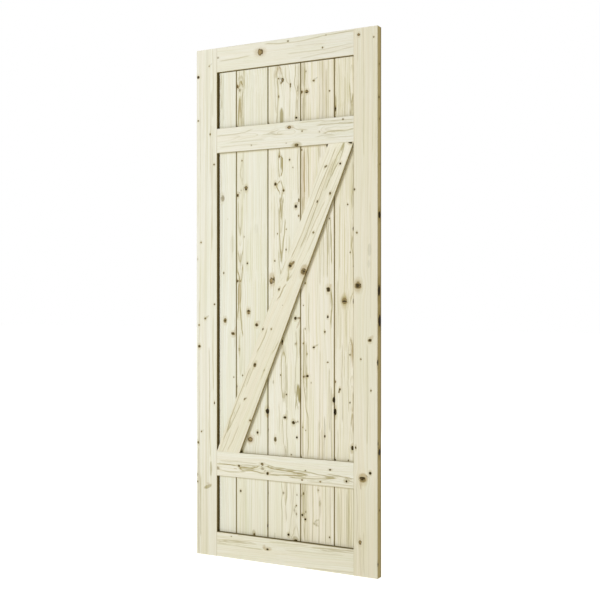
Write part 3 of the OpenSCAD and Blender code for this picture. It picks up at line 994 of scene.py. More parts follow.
def board(number, middle, edges, heart, knots, stains_and_shade, flames, screws, pits=()):
    """One board about its middle line, with the tongues that run past its ends."""
    left, right = edges[0] - middle, edges[1] - middle
    first, last = number == 1, number == 5
    inset = left - FRAME_TONGUE_L if first else left + SLOT_DEPTH
    reach = right + (FRAME_TONGUE_L if last else BOARD_TONGUE_L)
    low_end, high_end = BOARD_FOOT - END_TONGUE_L, BOARD_HEAD + END_TONGUE_L
    plates = [
        ((low_end, inset, TONGUE[0]), (BOARD_FOOT + LAP, reach, TONGUE[1])),
        ((BOARD_HEAD - LAP, inset, TONGUE[0]), (high_end, reach, TONGUE[1])),
    ]
    return timber(
        f"board_{number}_timber", board_section(left, right, inset, reach, first, last), BOARD_T,
        (BOARD_FOOT, BOARD_HEAD), (middle, BOARD_FRONT, 0, 0), heart, knots,
        stains_and_shade + painted_board_shade(middle), flames, screws, pits, plates,
    )


board_1 = board(
    1, -270.75, (-313, -228.5),
    heart=[(100, -80, 60), (700, -92, 70), (1400, -84, 58), (2040, -95, 72)],
    knots=[
        (1503, -25, 13, 10, "faint"), (1503, -27, 7, 5, "grey"), (1189, -20, 4, 4, "dark"),
        (990, -13, 10, 9, "dark"), (935, 26, 8, 10, "dark"), (754, 30, 3, 4, "grey"),
        (1415, 0, 2, 2, "faint"),
    ],
    stains_and_shade=[
        (1985, -41, 30, 6, 0, "brown", 0.5), (1935, -42, 22, 4, 0, "brown", 0.8),
        (945, 38, 26, 8, 10, "brown", 0.3), (1310, 24, 40, 12, 0, "olive", 0.14),
        (1503, -26, 17, 11, 0, "grey", 0.35),
    ],
    flames=[
        (0.15, 0.2, (1360, 1300, 1250), (21, 23, 20)), (0.25, 0.3, (2025, 1950, 1830), (-20, -22, -20)),
        (0.4, 0.4, (2025, 1960, 1880), (-32, -28, -31)),
        (0.2, 0.2, (1600, 1400, 1200), (-30, -28, -30)), (0.25, 0.3, (1000, 960, 880), (34, 36, 34)),
    ],
    screws=RAIL_SCREWS + [(476, 23.75)],
)
fit(board_1, spruce("board 1 spruce", (0.825, 0.832, 0.77), 0.25, 4.0, 0.25, 5.0), "board_1")

board_2 = board(
    2, -152, (-227.5, -76.5),
    heart=[
        (100, -60, 34), (500, -58, 29), (900, -56, 21), (1100, -55, 19), (1240, -57, 27),
        (1450, -57, 20), (1700, -58, 18), (1900, -57, 22), (1985, -52, 28), (2040, -55, 33),
    ],
    knots=[
        # The holes within a few millimetres of the mid rails' edges are painted shade in the joints
        (1798, -74, 5, 4, "hole"), (1966, -71, 8, 7, "brown"), (1950, -60, 8, 6, "faint"),
        (1655, -49, 5, 4, "grey"), (1512, -70, 8, 7, "dark"), (1540, -29, 10, 8, "ringed"),
        (1532, -53, 5, 3, "faint"), (1338, -38, 4, 4, "faint"), (1228, -23, 4, 4, "black"),
        (1155, -72, 6, 6, "brown"), (1155, -56, 3, 4, "grey"), (1027, -17, 11, 9, "brown"),
        (973, 22, 8, 9, "brown"), (870, -62, 9, 5, "faint"), (762, -46, 4, 4, "grey"),
        (500, -8, 11, 13, "rust"), (530, 26, 6, 6, "hole"), (281, -55, 5, 5, "dark"),
        (107, 11, 7, 6, "dark"), (620, 74, 12, 10, "hole"), (715, -74, 6, 3, "dark"),
        (150, 75, 8, 3, "dark"), (446, -57, 8, 12, "hole"),
    ],
    stains_and_shade=[
        (1100, -60, 50, 5, 0, "brown", 0.5), (1240, -56, 34, 6, 0, "olive", 0.35),
        (1360, -58, 22, 4, 0, "olive", 0.4), (1870, -59, 40, 4, 0, "brown", 0.4),
        (1950, -50, 80, 9, 0, "olive", 0.15), (500, -8, 18, 20, 0, "brown", 0.35),
        (980, 28, 16, 10, 40, "brown", 0.25), (1027, -17, 17, 13, 0, "olive", 0.3),
        (605, 74, 14, 5, 0, "brown", 0.8), (1370, 20, 22, 12, 0, "grey", 0.1),
        (112, 8, 18, 9, 0, "olive", 0.4), (1540, -29, 15, 12, 0, "brown", 0.25),
        # The shade row is a painted shadow in the joint along the board's right edge
        (1300, 75, 1400, 3, 0, "shade", 0.12),
    ],
    flames=[
        (0.55, 0.3, (2034, 2005, 1975, 1955), (-41, -39, -37, -35)),
        (0.5, 0.3, (2034, 2010, 1990), (-62, -62, -65)),
        (0.85, 0.35, (1992, 1980, 1965, 1952), (-54, -50, -46, -42)),
        (0.7, 0.35, (1992, 1980, 1968, 1958), (-54, -58, -60, -66)),
        (0.6, 0.35, (1962, 1922, 1863, 1800), (-43, -46, -45, -42)),
        (0.7, 0.4, (1920, 1890, 1850, 1800), (-61, -63, -66, -68)),
        (0.7, 0.4, (1920, 1890, 1850, 1800), (-59, -56, -54, -52)),
        (0.3, 0.2, (1650, 1600, 1560, 1545), (-50, -57, -48, -38)),
        (0.25, 0.2, (1690, 1600, 1500), (-41, -43, -40)),
        (0.4, 0.1, (1482, 1410, 1350), (-67, -67, -62)),
        (0.4, 0.1, (1465, 1394, 1347), (-49, -50, -54)),
        (0.6, 0.2, (1276, 1250, 1226), (-67, -63, -57)),
        (0.55, 0.2, (1280, 1252, 1228), (-46, -51, -56)),
        (0.85, 0.6, (1200, 1171, 1153, 1124, 1088, 1050, 1000), (-70, -62, -62, -66, -67, -66, -70)),
        (0.8, 0.5, (1218, 1171, 1147, 1100, 1053, 1010, 959, 930),
         (-46, -49, -54, -54, -58, -54, -50, -45)),
        (0.4, 0.2, (930, 900, 840), (-60, -62, -60)), (0.3, 0.3, (660, 600, 520), (40, 42, 41)),
    ],
    screws=RAIL_SCREWS + [(693.5, 24), (713.5, -24)],
    pits=[(530, 26, 5, 5, 1.2), (620, 74, 10, 7, 2.2)],
)
fit(board_2, spruce("board 2 spruce", (0.815, 0.815, 0.74), 0.3, 4.6, 0.5, 6.0), "board_2")

board_3 = board(
    3, 0, (-75.5, 75.5),
    heart=[
        (100, 8, 30), (330, 8, 27), (440, 6, 24), (560, 4, 19), (670, -1, 25), (780, -2, 20),
        (885, -2, 27), (960, -5, 31), (1150, -12, 34), (1240, -13, 28), (1400, -13, 24),
        (1500, -13, 18), (1560, -14, 22), (1650, -14, 17), (1850, -16, 21), (2000, -20, 26),
        (2040, -24, 31),
    ],
    knots=[
        # The hole just above the upper mid rail is painted shade in the joint
        (1798, -74, 5, 4, "hole"), (1978, -26, 4, 4, "grey"), (1971, -7, 8, 7, "ringed"),
        (1959, -14, 4, 5, "grey"), (1945, 29, 12, 4, "grey"), (1930, 63, 16, 4, "faint"),
        (1905, -25, 6, 3, "grey"), (1811, 56, 5, 6, "black"), (1660, -23, 6, 4, "dark"),
        (1644, 25, 4, 4, "black"), (1612, 40, 3, 4, "faint"), (1548, -41, 9, 7, "dark"),
        (1521, -3, 8, 6, "dark"), (1454, 54, 8, 7, "black"), (1477, 68, 9, 4, "grey"),
        (1415, 67, 5, 4, "rust"), (1346, -31, 4, 3, "grey"), (1363, 10, 3, 3, "grey"),
        (1280, 9, 5, 3, "grey"), (1236, -44, 4, 4, "grey"), (1155, -60, 16, 9, "rust"),
        (1160, -48, 15, 5, "dark"), (1122, -23, 4, 5, "grey"), (1002, 52, 7, 7, "black"),
        (1003, 70, 3, 7, "rust"), (900, 54, 8, 7, "faint"), (903, 52, 4, 3, "grey"),
        (905, -9, 14, 5, "dark"), (770, -17, 5, 3, "grey"), (692, 11, 4, 4, "dark"),
        (599, 4, 6, 8, "black"), (580, 43, 8, 8, "black"), (507, -41, 11, 7, "grey"),
        (521, 59, 5, 5, "dark"), (450, 34, 3, 4, "grey"), (585, 63, 4, 5, "faint"),
        (740, -51, 8, 3, "faint"), (291, -3, 6, 5, "faint"), (289, 59, 5, 4, "faint"),
        (287, 61, 3, 3, "grey"), (246, 56, 4, 4, "grey"), (212, 57, 8, 4, "faint"),
        (228, 47, 8, 3, "faint"), (124, 20, 6, 6, "hole"), (105, 54, 6, 9, "dark"),
        (620, -75, 11, 5, "hole"), (545, -75, 5, 3, "dark"), (285, -75, 5, 3, "dark"),
    ],
    stains_and_shade=[
        (1818, -12, 44, 10, 0, "olive", 0.9), (1635, -12, 34, 5, 0, "olive", 0.9),
        (1450, -13, 55, 5, 0, "olive", 0.5), (2015, -36, 40, 10, 12, "brown", 0.25),
        (2015, -20, 30, 12, -12, "brown", 0.2), (698, 68, 42, 8, -4, "olive", 1.0),
        (655, 60, 24, 4, -14, "olive", 0.4), (1160, -58, 32, 15, 0, "brown", 0.3),
        (980, 66, 26, 4, 24, "brown", 0.45), (870, -2, 26, 11, 0, "olive", 0.25),
        (680, -2, 22, 7, 0, "olive", 0.3), (440, 6, 50, 8, 0, "olive", 0.25),
        (305, 9, 50, 4, 0, "olive", 0.35), (1250, -13, 30, 4, 0, "olive", 0.45),
        (599, 4, 5, 16, 0, "grey", 0.25), (112, -44, 16, 5, 0, "olive", 0.25),
        (110, 52, 14, 15, 0, "olive", 0.4),
    ],
    flames=[
        (0.6, 0.4, (2034, 1996, 1975, 1934, 1893, 1846, 1800), (-28, -36, -32, -29, -28, -32, -34)),
        (0.6, 0.7, (2034, 2010, 1990), (-22, -16, -10)),
        (0.35, 0.3, (2022, 1987, 1963, 1946, 1934), (6, 7, 12, 24, 30)),
        (0.5, 0.2, (2028, 1993, 1952, 1905, 1863, 1805), (53, 52, 47, 59, 56, 53)),
        (0.4, 0.3, (2028, 1970, 1928, 1863, 1800), (68, 65, 68, 63, 65)),
        (0.3, 0.2, (2005, 1922, 1846), (-47, -42, -41)), (0.2, 0.2, (2000, 1900, 1820), (24, 27, 25)),
        (0.95, 0.35, (1690, 1664, 1652, 1605, 1569, 1540, 1508), (-23, -20, -8, -8, -17, -35, -20)),
        (0.6, 0.3, (1680, 1628, 1581, 1569), (-28, -27, -24, -18)),
        (0.65, 0.3, (1569, 1522, 1499, 1481), (-16, -5, -10, -14)),
        (0.4, 0.2, (1687, 1640, 1569, 1500), (66, 62, 64, 65)),
        (0.8, 0.2, (1490, 1453, 1406), (-20, -17, -13)), (0.75, 0.2, (1490, 1441, 1400), (-5, -9, -12)),
        (0.65, 0.2, (1447, 1353, 1288, 1241), (-24, -22, -18, -12)),
        (0.7, 0.2, (1400, 1359, 1306, 1241), (5, 3, -4, -10)),
        (0.5, 0.2, (1276, 1223, 1176), (-26, -23, -16)), (0.55, 0.2, (1230, 1188, 1173), (4, -10, -16)),
        (0.25, 0.2, (1500, 1420, 1330), (-46, -44, -46)), (0.35, 0.2, (1330, 1200, 1120), (24, 22, 25)),
        (0.6, 0.2, (866, 813, 725, 684, 669), (-10, -13, -12, -7, -1)),
        (0.6, 0.2, (872, 842, 725, 684, 669), (-2, 5, 5, 2, -2)),
        (0.5, 0.2, (813, 695, 631, 607), (12, 13, 12, 8)),
        (0.45, 0.2, (948, 872, 784, 695), (55, 58, 52, 49)), (0.65, 0.2, (735, 666, 637), (60, 55, 52)),
        (0.5, 0.6, (960, 900, 850), (71, 72, 71)), (0.4, 0.2, (595, 513, 448), (-8, -4, 8)),
        (0.45, 0.2, (631, 548, 448), (14, 12, 16)), (0.3, 0.2, (650, 600, 540), (-24, -22, -24)),
        (0.35, 0.3, (335, 290, 250, 200, 110), (-12, -8, -12, -9, -11)),
        (0.35, 0.3, (335, 290, 240, 180), (8, 12, 8, 10)), (0.3, 0.2, (168, 140, 108), (53, 45, 32)),
        (0.3, 0.2, (170, 140, 108), (57, 64, 71)),
        (0.25, 0.2, (335, 280, 230, 180, 120), (46, 42, 38, 30, 24)),
        (0.2, 0.3, (335, 290, 250), (30, 33, 31)),
    ],
    screws=RAIL_SCREWS + [(1057, 24), (1077, -24)],
    pits=[(124, 20, 5, 5, 1.2), (620, -75, 9, 5, 2.0)],
)
fit(board_3, spruce("board 3 spruce", (0.84, 0.832, 0.76), 0.3, 4.8, 0.35, 7.0), "board_3")

board_4 = board(
    4, 152, (76.5, 227.5),
    heart=[
        (100, -60, 20), (400, -61, 15), (800, -58, 17), (1060, -62, 14), (1400, -60, 18),
        (1700, -62, 13), (2040, -64, 19),
    ],
    knots=[
        # The holes within a few millimetres of the mid rails' edges are painted shade in the joints
        (1798, -74, 4, 3, "hole"), (443, -74, 5, 4, "hole"), (1994, -52, 4, 4, "faint"),
        (1912, -72, 8, 8, "brown"), (1912, -48, 7, 9, "brown"), (1953, -17, 4, 6, "grey"),
        (1905, 54, 4, 4, "grey"), (1680, -71, 4, 4, "rust"), (1688, 48, 9, 8, "hole"),
        (1399, 54, 4, 3, "dark"), (1143, -55, 6, 4, "grey"), (1118, 49, 11, 10, "dark"),
        (1054, -63, 3, 3, "grey"), (1009, 46, 6, 5, "dark"), (960, -55, 4, 4, "faint"),
        (949, 33, 5, 5, "grey"), (901, -63, 5, 4, "grey"), (886, -16, 4, 6, "dark"),
        (859, -46, 4, 4, "faint"), (828, 46, 3, 5, "grey"), (798, -75, 5, 3, "dark"),
        (767, -62, 5, 5, "dark"), (770, -45, 6, 7, "dark"), (744, -28, 3, 3, "faint"),
        (680, 74, 12, 8, "hole"), (633, 76, 11, 4, "hole"), (534, 33, 7, 4, "dark"),
        (564, -66, 3, 3, "grey"), (552, -53, 3, 3, "grey"), (297, -63, 7, 4, "grey"),
        (211, -68, 5, 5, "black"), (195, -55, 5, 5, "black"), (225, -53, 5, 4, "faint"),
        (317, 4, 5, 5, "faint"), (134, 54, 4, 4, "grey"), (285, -75, 5, 2, "dark"),
    ],
    stains_and_shade=[
        (1985, -62, 60, 9, 0, "olive", 0.45), (1830, -63, 120, 3, 0, "olive", 0.48),
        (1560, -65, 130, 7, 0, "brown", 0.4), (1580, -58, 110, 2, 0, "brown", 0.64),
        (1960, -7, 12, 3, 60, "grey", 0.5), (1320, 48, 70, 2, 0, "olive", 0.56),
        (1320, 60, 70, 2, 0, "olive", 0.56), (1085, 62, 40, 5, 0, "olive", 0.45),
        (892, -8, 16, 3.5, 62, "olive", 0.6), (560, 33, 40, 3, 0, "grey", 0.3),
        (250, 11, 48, 6, 0, "olive", 0.3), (264, 11, 14, 5, 0, "olive", 0.4),
        (195, -3, 13, 4, 62, "olive", 0.5), (177, -6, 15, 4, 110, "olive", 0.6),
        (184, -8, 13, 5, 90, "olive", 0.3), (300, -60, 120, 12, 0, "olive", 0.25),
        (1668, 12, 30, 6, 0, "olive", 0.3), (1130, 58, 12, 7, 30, "brown", 0.3),
        (850, -62, 90, 3, 0, "olive", 0.56), (740, -49, 80, 3, 0, "olive", 0.48),
        (1000, 62, 40, 2, 0, "olive", 0.48),
    ],
    flames=[
        (0.56, 0.1, (2005, 1952, 1864, 1800), (-58, -59, -56, -58)),
        (0.5, 0.6, (1890, 1850, 1800), (-64, -65, -64)), (0.31, 0.3, (2030, 1900, 1800), (10, 11, 10)),
        (0.38, 0.3, (2030, 1920, 1800), (22, 23, 22)), (0.25, 0.3, (2030, 1930, 1800), (31, 32, 31)),
        (0.38, 0.3, (1990, 1900, 1800), (40, 41, 40)), (0.25, 0.3, (2030, 1800), (48, 48)),
        (0.5, 0.4, (1687, 1628, 1569, 1490), (-43, -40, -41, -39)),
        (0.69, 0.8, (1680, 1616, 1569, 1500), (-60, -59, -61, -57)),
        (0.38, 0.2, (1690, 1660, 1625), (4, 6, 5)), (0.56, 0.2, (1482, 1441, 1420), (-68, -66, -67)),
        (0.38, 0.2, (1500, 1450, 1420), (-58, -60, -58)),
        (0.56, 0.2, (1390, 1323, 1265, 1170), (41, 44, 45, 44)),
        (0.62, 0.1, (1400, 1306, 1223), (58, 62, 63)), (0.31, 0.3, (1370, 1250, 1170), (26, 29, 28)),
        (0.31, 0.3, (1300, 1200, 1140), (10, 12, 11)), (0.81, 0.1, (1105, 1059, 982), (62, 66, 60)),
        (0.38, 0.3, (1100, 1000, 950), (-38, -40, -38)),
        (0.56, 0.1, (960, 901, 766, 654, 595, 489, 448), (-62, -61, -63, -53, -42, -41, -44)),
        (0.56, 0.1, (901, 784, 725), (-51, -52, -48)), (0.5, 0.2, (584, 520, 448), (-66, -67, -65)),
        (0.25, 0.3, (870, 700, 560), (12, 11, 12)), (0.44, 0.2, (590, 500, 448), (8, 9, 8)),
        (0.38, 0.3, (610, 540, 450), (32, 33, 31)), (0.31, 0.3, (800, 640, 560), (53, 52, 53)),
        (0.44, 0.1, (725, 600, 448), (62, 61, 63)), (0.31, 0.3, (560, 500, 448), (20, 21, 22)),
        (0.44, 0.2, (335, 250, 110), (-58, -56, -58)), (0.38, 0.3, (335, 220, 110), (36, 38, 36)),
        (0.38, 0.3, (335, 220, 110), (-22, -20, -23)), (0.45, 0.1, (335, 270, 210), (-66, -65, -64)),
        (0.3, 0.2, (335, 220, 110), (-46, -47, -46)), (0.35, 0.2, (205, 150, 105), (7, 7, 6)),
        (0.3, 0.3, (335, 220, 110), (57, 57, 58)),
    ],
    screws=RAIL_SCREWS + [(1420.5, 24), (1440.5, -24)],
    pits=[(680, 74, 10, 6, 2.6), (633, 76, 9, 4, 2.2)],
)
fit(board_4, spruce("board 4 spruce", (0.85, 0.825, 0.75), 0.38, 3.6, 0.65, 8.0), "board_4")

board_5 = board(
    5, 270.75, (228.5, 313),
    heart=[
        (100, 33, 26), (450, 33, 22), (700, 34, 17), (830, 34, 23), (900, 35, 16), (1300, 36, 20),
        (1500, 36, 15), (1800, 35, 18), (1885, 35, 24), (2040, 35, 28),
    ],
    knots=[
        # The holes within a few millimetres of the mid rails' edges are painted shade in the joints
        (1798, -40, 4, 3, "hole"), (443, -40, 5, 4, "hole"), (1832, -39, 13, 5, "dark"),
        (1943, 45, 5, 4, "faint"), (1692, 24, 5, 9, "hole"), (1690, 46, 9, 5, "hole"),
        (1451, 15, 4, 4, "grey"), (1355, 39, 10, 3, "grey"), (1262, 26, 4, 3, "grey"),
        (1208, 41, 6, 3, "grey"), (1072, 1, 15, 14, "brown"), (1070, 41, 12, 4, "dark"),
        (860, 25, 4, 4, "grey"), (724, -19, 6, 5, "dark"), (712, -23, 4, 4, "grey"),
        (673, 25, 4, 3, "grey"), (633, -39, 15, 6, "hole"), (752, -39, 5, 4, "rust"),
        (495, 36, 10, 7, "black"), (445, 18, 4, 3, "grey"), (680, -42, 10, 3, "hole"),
    ],
    stains_and_shade=[
        (1840, -38, 50, 5, 0, "olive", 0.7), (1850, 37, 40, 6, 0, "olive", 0.35),
        (1470, 36, 40, 5, 0, "olive", 0.35), (1137, 46, 16, 4, 0, "brown", 0.5),
        (860, 35, 55, 4, 0, "brown", 0.5), (1073, 1, 22, 20, 0, "olive", 0.3),
        (610, 36, 60, 4, 0, "brown", 0.25), (490, 30, 20, 9, 0, "olive", 0.3),
        (215, 12, 110, 3, 0, "olive", 0.56), (215, -25, 110, 10, 0, "olive", 0.2),
        (1350, 36, 60, 6, 0, "olive", 0.2),
    ],
    flames=[
        (0.29, 0.3, (2005, 1900, 1800), (-23, -22, -23)), (0.34, 0.3, (1950, 1880, 1800), (3, 4, 3)),
        (0.52, 0.2, (1922, 1863, 1800), (24, 27, 25)), (0.69, 0.1, (1878, 1834, 1800), (37, 31, 29)),
        (0.46, 0.1, (1610, 1560, 1490), (38, 39, 37)), (0.29, 0.3, (1450, 1300, 1200), (-20, -22, -20)),
        (0.69, 0.1, (1323, 1288, 1253, 1206, 1147), (34, 31, 38, 41, 40)),
        (0.52, 0.1, (1105, 1085, 1065), (38, 30, 26)), (0.23, 0.3, (1150, 1000, 930), (-28, -27, -28)),
        (0.29, 0.3, (1180, 1050, 930), (8, 7, 8)), (0.75, 0.7, (925, 889, 813), (28, 34, 38)),
        (0.63, 0.5, (919, 872, 813), (42, 41, 39)), (0.57, 0.3, (713, 654, 584), (38, 38, 30)),
        (0.52, 0.3, (654, 610, 560), (34, 40, 38)), (0.29, 0.3, (560, 500, 448), (-28, -27, -28)),
        (0.34, 0.3, (900, 760, 600), (-8, -10, -8)), (0.29, 0.4, (900, 760, 640), (18, 17, 19)),
        (0.5, 0.1, (335, 220, 110), (18, 19, 18)), (0.34, 0.2, (335, 220, 110), (-14, -12, -15)),
        (0.29, 0.3, (335, 220, 110), (30, 31, 29)),
    ],
    screws=RAIL_SCREWS + [(1658, -23.75)],
    pits=[(633, -39, 12, 6, 2.4)],
)
fit(board_5, spruce("board 5 spruce", (0.84, 0.815, 0.725), 0.4, 3.4, 0.7, 9.0), "board_5")

# ---------------------------------------------------------------- the mid rails
# Two ledges of 102 x 12 mm spruce planted across the boards, flush with the frame. They butt
# against the stiles on small dowels and are screwed through the boards from behind.

LEDGE_T = 12
# Painted shade on both long edges of the ledges, inner on the lower and shaded on the upper
ledge_section = bar_section(LEDGE_T, groove=False, eased_back=False, inner=0.55, shaded=0.22)

upper_mid_rail = timber(
    "upper_mid_rail_timber", ledge_section, LEDGE_T, (-PANEL_HALF, PANEL_HALF),
    (0, FRONT, UPPER_RAIL_MIDDLE, 90),
    heart=[
        (-317, -8, 20), (-150, -10, 25), (-60, -10, 30), (-10, -10, 25), (40, -10, 24), (92, -10, 30),
        (150, -8, 29), (200, -8, 23), (317, -6, 17),
    ],
    knots=[
        (31, -29, 10, 7, "rust"), (64, 45, 12, 7, "dark"), (271, -41, 3, 4, "dark"),
        (-148, 30, 3, 4, "faint"), (16, 34, 3, 3, "faint"), (167, 0, 4, 5, "faint"),
        (89, -9, 3, 5, "grey"),
    ],
    stains_and_shade=[
        (-55, -10, 30, 3, 0, "grey", 0.2), (64, 42, 22, 14, 0, "olive", 0.3),
        (31, -29, 20, 12, 0, "brown", 0.2),
    ],
    flames=[
        (0.3, 0.2, (-317, -223, -188, -146), (-20, -22, -25, -34)),
        (0.4, 0.3, (-90, -55, -29, 0), (-9, -10, -5, -4)),
        (0.35, 0.3, (-75, -45, -20), (-11, -17, -22)), (0.35, 0.4, (42, 72, 110), (-28, -17, -13)),
        (0.35, 0.3, (77, 165, 195, 317), (-43, -44, -40, -37)),
        (0.5, 0.3, (160, 224, 317), (-27, -27, -24)),
        (0.55, 0.3, (185, 210, 250, 283, 317), (8, 2, 2, 4, 0)), (0.25, 0.3, (200, 317), (27, 28)),
        (0.25, 0.3, (150, 180, 230), (20, 16, 15)), (0.2, 0.2, (-300, -200, -120), (28, 26, 28)),
        (0.2, 0.2, (-250, -150, -90), (10, 12, 11)),
    ],
)
fit(upper_mid_rail, spruce("upper mid rail spruce", (0.815, 0.81, 0.745), 0.16, 4.6, 0.25, 10.0),
    "upper_mid_rail")

lower_mid_rail = timber(
    "lower_mid_rail_timber", ledge_section, LEDGE_T, (-PANEL_HALF, PANEL_HALF),
    (0, FRONT, LOWER_RAIL_MIDDLE, 90),
    heart=[
        (-317, 12, 18), (-225, 12, 22), (-190, 13, 15), (-95, 8, 13), (0, 13, 15), (125, 14, 21),
        (245, 15, 26), (317, 13, 21),
    ],
    knots=[
        (-97, -14, 8, 6, "dark"), (-71, 23, 8, 7, "dark"), (-95, 5, 8, 7, "faint"),
        (-209, 2, 7, 5, "dark"), (104, -3, 4, 3, "grey"), (89, 36, 5, 4, "grey"),
        (171, 36, 5, 4, "grey"), (215, -15, 5, 4, "dark"), (286, 25, 5, 5, "black"),
        (-312, 20, 9, 8, "faint"),
    ],
    stains_and_shade=[
        (-170, 13, 44, 5, 0, "olive", 0.4), (90, 14, 30, 5, 0, "olive", 0.55),
        (0, 13, 90, 6, 1, "olive", 0.15), (215, 16, 26, 5, 0, "olive", 0.5),
        (286, 22, 16, 13, 0, "olive", 0.3), (-206, 6, 12, 6, 40, "olive", 0.6),
        (-225, 15, 9, 3, 0, "brown", 0.5), (-313, 20, 8, 6, 0, "grey", 0.3),
    ],
    flames=[
        (0.85, 0.3, (-317, -270, -222), (2, 1, 2)),
        (0.4, 0.2, (-205, -190, -120, -105), (0, -2, -5, -9)),
        (0.85, 0.2, (-208, -192, -150, -123, -103), (13, 7, 8, 1, -9)),
        (0.7, 0.2, (-207, -187, -150, -123, -100, -85), (15, 21, 17, 20, 24, 24)),
        (0.8, 0.2, (-60, -37, 26, 81, 113), (27, 26, 23, 20, 15)),
        (0.85, 0.2, (-78, -46, 0, 36, 81, 115), (-5, 2, 4, 7, 11, 14)),
        (0.7, 0.2, (-78, -28, 36, 108, 172, 217, 238), (-12, -4, 0, 2, 9, 13, 16)),
        (0.7, 0.2, (35, 131, 181, 238), (30, 28, 24, 18)),
        (0.6, 0.5, (204, 249, 276, 317), (4, 6, 9, 13)), (0.5, 0.3, (290, 304, 317), (18, 24, 26)),
        (0.4, 0.2, (-317, -301, -251, -183), (14, 27, 31, 26)),
        (0.3, 0.2, (-300, -200, -120), (-12, -14, -12)), (0.25, 0.3, (120, 220, 317), (40, 38, 41)),
    ],
)
fit(lower_mid_rail, spruce("lower mid rail spruce", (0.81, 0.80, 0.72), 0.3, 4.9, 0.3, 11.0),
    "lower_mid_rail")

# ---------------------------------------------------------------- the brace
# One long ledge from the foot of the door's left side to the head of its right, with both ends
# cut level where it meets the mid rails. It is screwed on from behind as they are.

BRACE_HALF_RISE = 626
brace_half = BRACE_HALF_RISE / LEAN_COS
# Painted shade on the brace's lower right edge
diagonal_brace = timber(
    "diagonal_brace_timber", bar_section(LEDGE_T, groove=False, eased_back=False, inner=0.46),
    LEDGE_T, (-brace_half, brace_half), (0, FRONT, BRACE_MIDDLE, BRACE_LEAN),
    heart=[
        (-740, -38, 21), (-580, -37, 23), (-420, -30, 31), (-100, -22, 35), (60, -18, 30),
        (112, -14, 24), (300, -6, 22), (500, 6, 20), (600, 10, 22), (685, 13, 27), (740, 14, 29),
    ],
    knots=[
        (-288, -22, 10, 8, "dark"), (-440, -12, 5, 4, "grey"), (-432, -6, 3, 3, "faint"),
        (-510, 46, 5, 5, "dark"), (-290, 27, 6, 3, "faint"), (-138, -43, 6, 4, "grey"),
        (-122, -7, 4, 4, "grey"), (42, -36, 6, 5, "dark"), (152, -25, 12, 10, "dark"),
        (150, 41, 15, 13, "brown"), (168, -15, 6, 5, "rust"), (310, 22, 5, 5, "grey"),
        (430, -9, 6, 3, "dark"), (480, 32, 6, 6, "grey"), (569, -29, 5, 4, "dark"),
        (574, -24, 5, 3, "grey"), (603, 29, 5, 5, "dark"), (-12, 4, 2, 2, "faint"),
        # The hole past the brace's head is painted shade in its joint with the rail
        (694, 38, 6, 11, "hole"),
    ],
    stains_and_shade=[
        (-580, -36, 30, 4, 0, "olive", 0.5), (98, -14, 14, 4, 0, "olive", 0.5),
        (152, -20, 20, 16, 0, "brown", 0.3), (156, 40, 26, 19, 0, "brown", 0.4),
        (668, 14, 20, 5, 0, "olive", 0.6), (535, 8, 20, 3, 1, "grey", 0.35),
        # The shade row is painted shade, darker towards the brace's foot
        (0, 46, 700, 6, 0, "olive", 0.05), (-1100, 0, 1700, 1700, 0, "shade", 0.05),
    ],
    flames=[
        (0.25, 0.4, (425, 530, 640), (-43, -42, -38)),
        (0.5, 0.5, (185, 245, 300, 460, 590, 650), (-32, -27, -24, -22, -16, -15)),
        (0.45, 0.5, (235, 300, 420, 520, 600), (-9, -5, -5, -6, -5)),
        (0.35, 0.5, (270, 340, 400, 440), (7, 11, 17, 21)),
        (0.6, 0.4, (490, 530, 560, 605), (7, 8, 12, 18)),
        (0.5, 0.1, (540, 580, 620, 650, 682), (7, 3, 4, 8, 14)),
        (0.5, 0.2, (615, 655, 682), (21, 20, 17)), (0.25, 0.7, (235, 300, 400, 520), (30, 33, 38, 44)),
        (0.2, 0.7, (460, 540, 610), (33, 36, 38)),
        (0.55, 0.2, (-235, -200, -160, -130), (-33, -27, -24, -25)),
        (0.6, 0.4, (0, 20, 50, 74), (-27, -21, -20, -14)), (0.6, 0.1, (84, 110, 136), (-15, -18, -27)),
        (0.6, 0.2, (88, 115), (-13, -5)), (0.4, 0.1, (-212, -180, -158), (35, 41, 44)),
        (0.5, 0.2, (-640, -600, -540, -450, -380, -315), (-40, -39, -43, -42, -39, -38)),
        (0.5, 0.3, (-605, -560, -520, -470), (-37, -30, -26, -22)),
        (0.3, 0.1, (-672, -620, -555), (-5, 2, 5)), (0.25, 0.1, (-695, -640, -600), (-26, -22, -22)),
        (0.35, 0.3, (-385, -340, -300), (-26, -25, -24)), (0.25, 0.4, (-330, -290), (27, 27)),
    ],
    shear=LEAN_SIN / LEAN_COS,
)
fit(diagonal_brace, spruce("brace spruce", (0.846, 0.831, 0.737), 0.15, 4.8, 0.3, 12.0),
    "diagonal_brace")

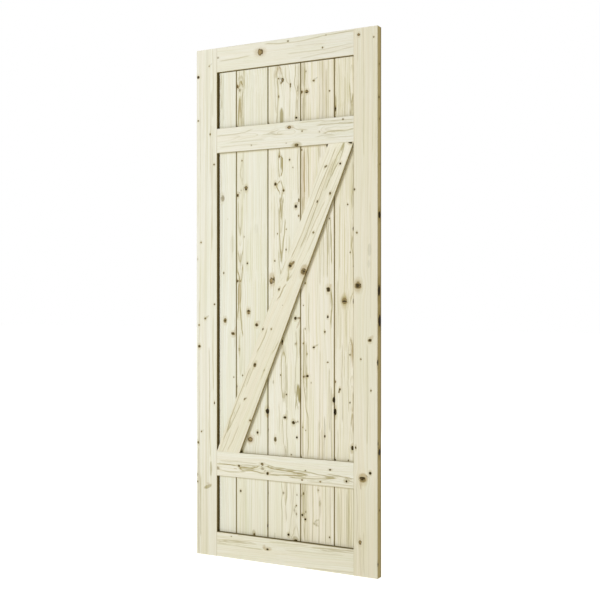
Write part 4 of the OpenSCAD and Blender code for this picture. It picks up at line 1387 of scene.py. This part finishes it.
# ---------------------------------------------------------------- the dowels
# Turned beech, glued in bores across the frame's joints and out of sight once it is closed. The
# grain runs along each dowel.

BEECH, BEECH_STREAK, BEECH_FLECK = (0.60, 0.42, 0.25, 1), (0.45, 0.29, 0.16, 1), (0.32, 0.19, 0.1, 1)
METRES_TO_MM = (1000, 1000, 1000)


def finish(names, material):
    """Pieces that keep their own shape get their finish."""
    for name in names:
        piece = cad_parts[name]
        piece.data.materials.clear()
        piece.data.materials.append(material)


beech, tree, shader = new_finish("beech")
lengthwise = node(tree, "Mapping", {
    "Vector": node(tree, "TexCoord", {}, 3), "Rotation": (0, math.radians(90), 0),
    "Scale": METRES_TO_MM,
})
fibre = place_group(tree, "planed fibre", {"Grain": lengthwise, "Seed": 13.0})
colour = blend(tree, ramp(tree, fibre["Streak"], 0.4, 0.7), BEECH, BEECH_STREAK)
colour = blend(tree, ramp(tree, fibre["Hair"], 0.4, 0.8, 0.0, 0.4), colour, BEECH_FLECK)
put(tree, shader.inputs["Base Color"], colour)
rough = sums(tree, "MULTIPLY_ADD", fibre["Hair"], 0.2, 0.5)
put(tree, shader.inputs["Roughness"], rough)
finish(
    ("top_rail_dowels", "bottom_rail_dowels", "upper_mid_rail_dowels", "lower_mid_rail_dowels"),
    beech,
)

# ---------------------------------------------------------------- the screws
# Countersunk steel screws with a cross recess, driven from the back. They are zinc plated, with
# the warm bloom that it has.

ZINC, ZINC_BLOOM = (0.62, 0.60, 0.56, 1), (0.55, 0.50, 0.38, 1)

zinc, tree, shader = new_finish("zinc plate")
here = node(tree, "TexCoord", {}, 3)
bloom = ramp(tree, noise(tree, here, 260.0, 3.0), 0.35, 0.65)
put(tree, shader.inputs["Base Color"], blend(tree, bloom, ZINC, ZINC_BLOOM))
rough = ramp(tree, noise(tree, here, 900.0, 2.0), 0.3, 0.7, 0.28, 0.46)
put(tree, shader.inputs["Roughness"], rough)
shader.inputs["Metallic"].default_value = 1.0
finish(("upper_mid_rail_screws", "lower_mid_rail_screws", "brace_screws"), zinc)
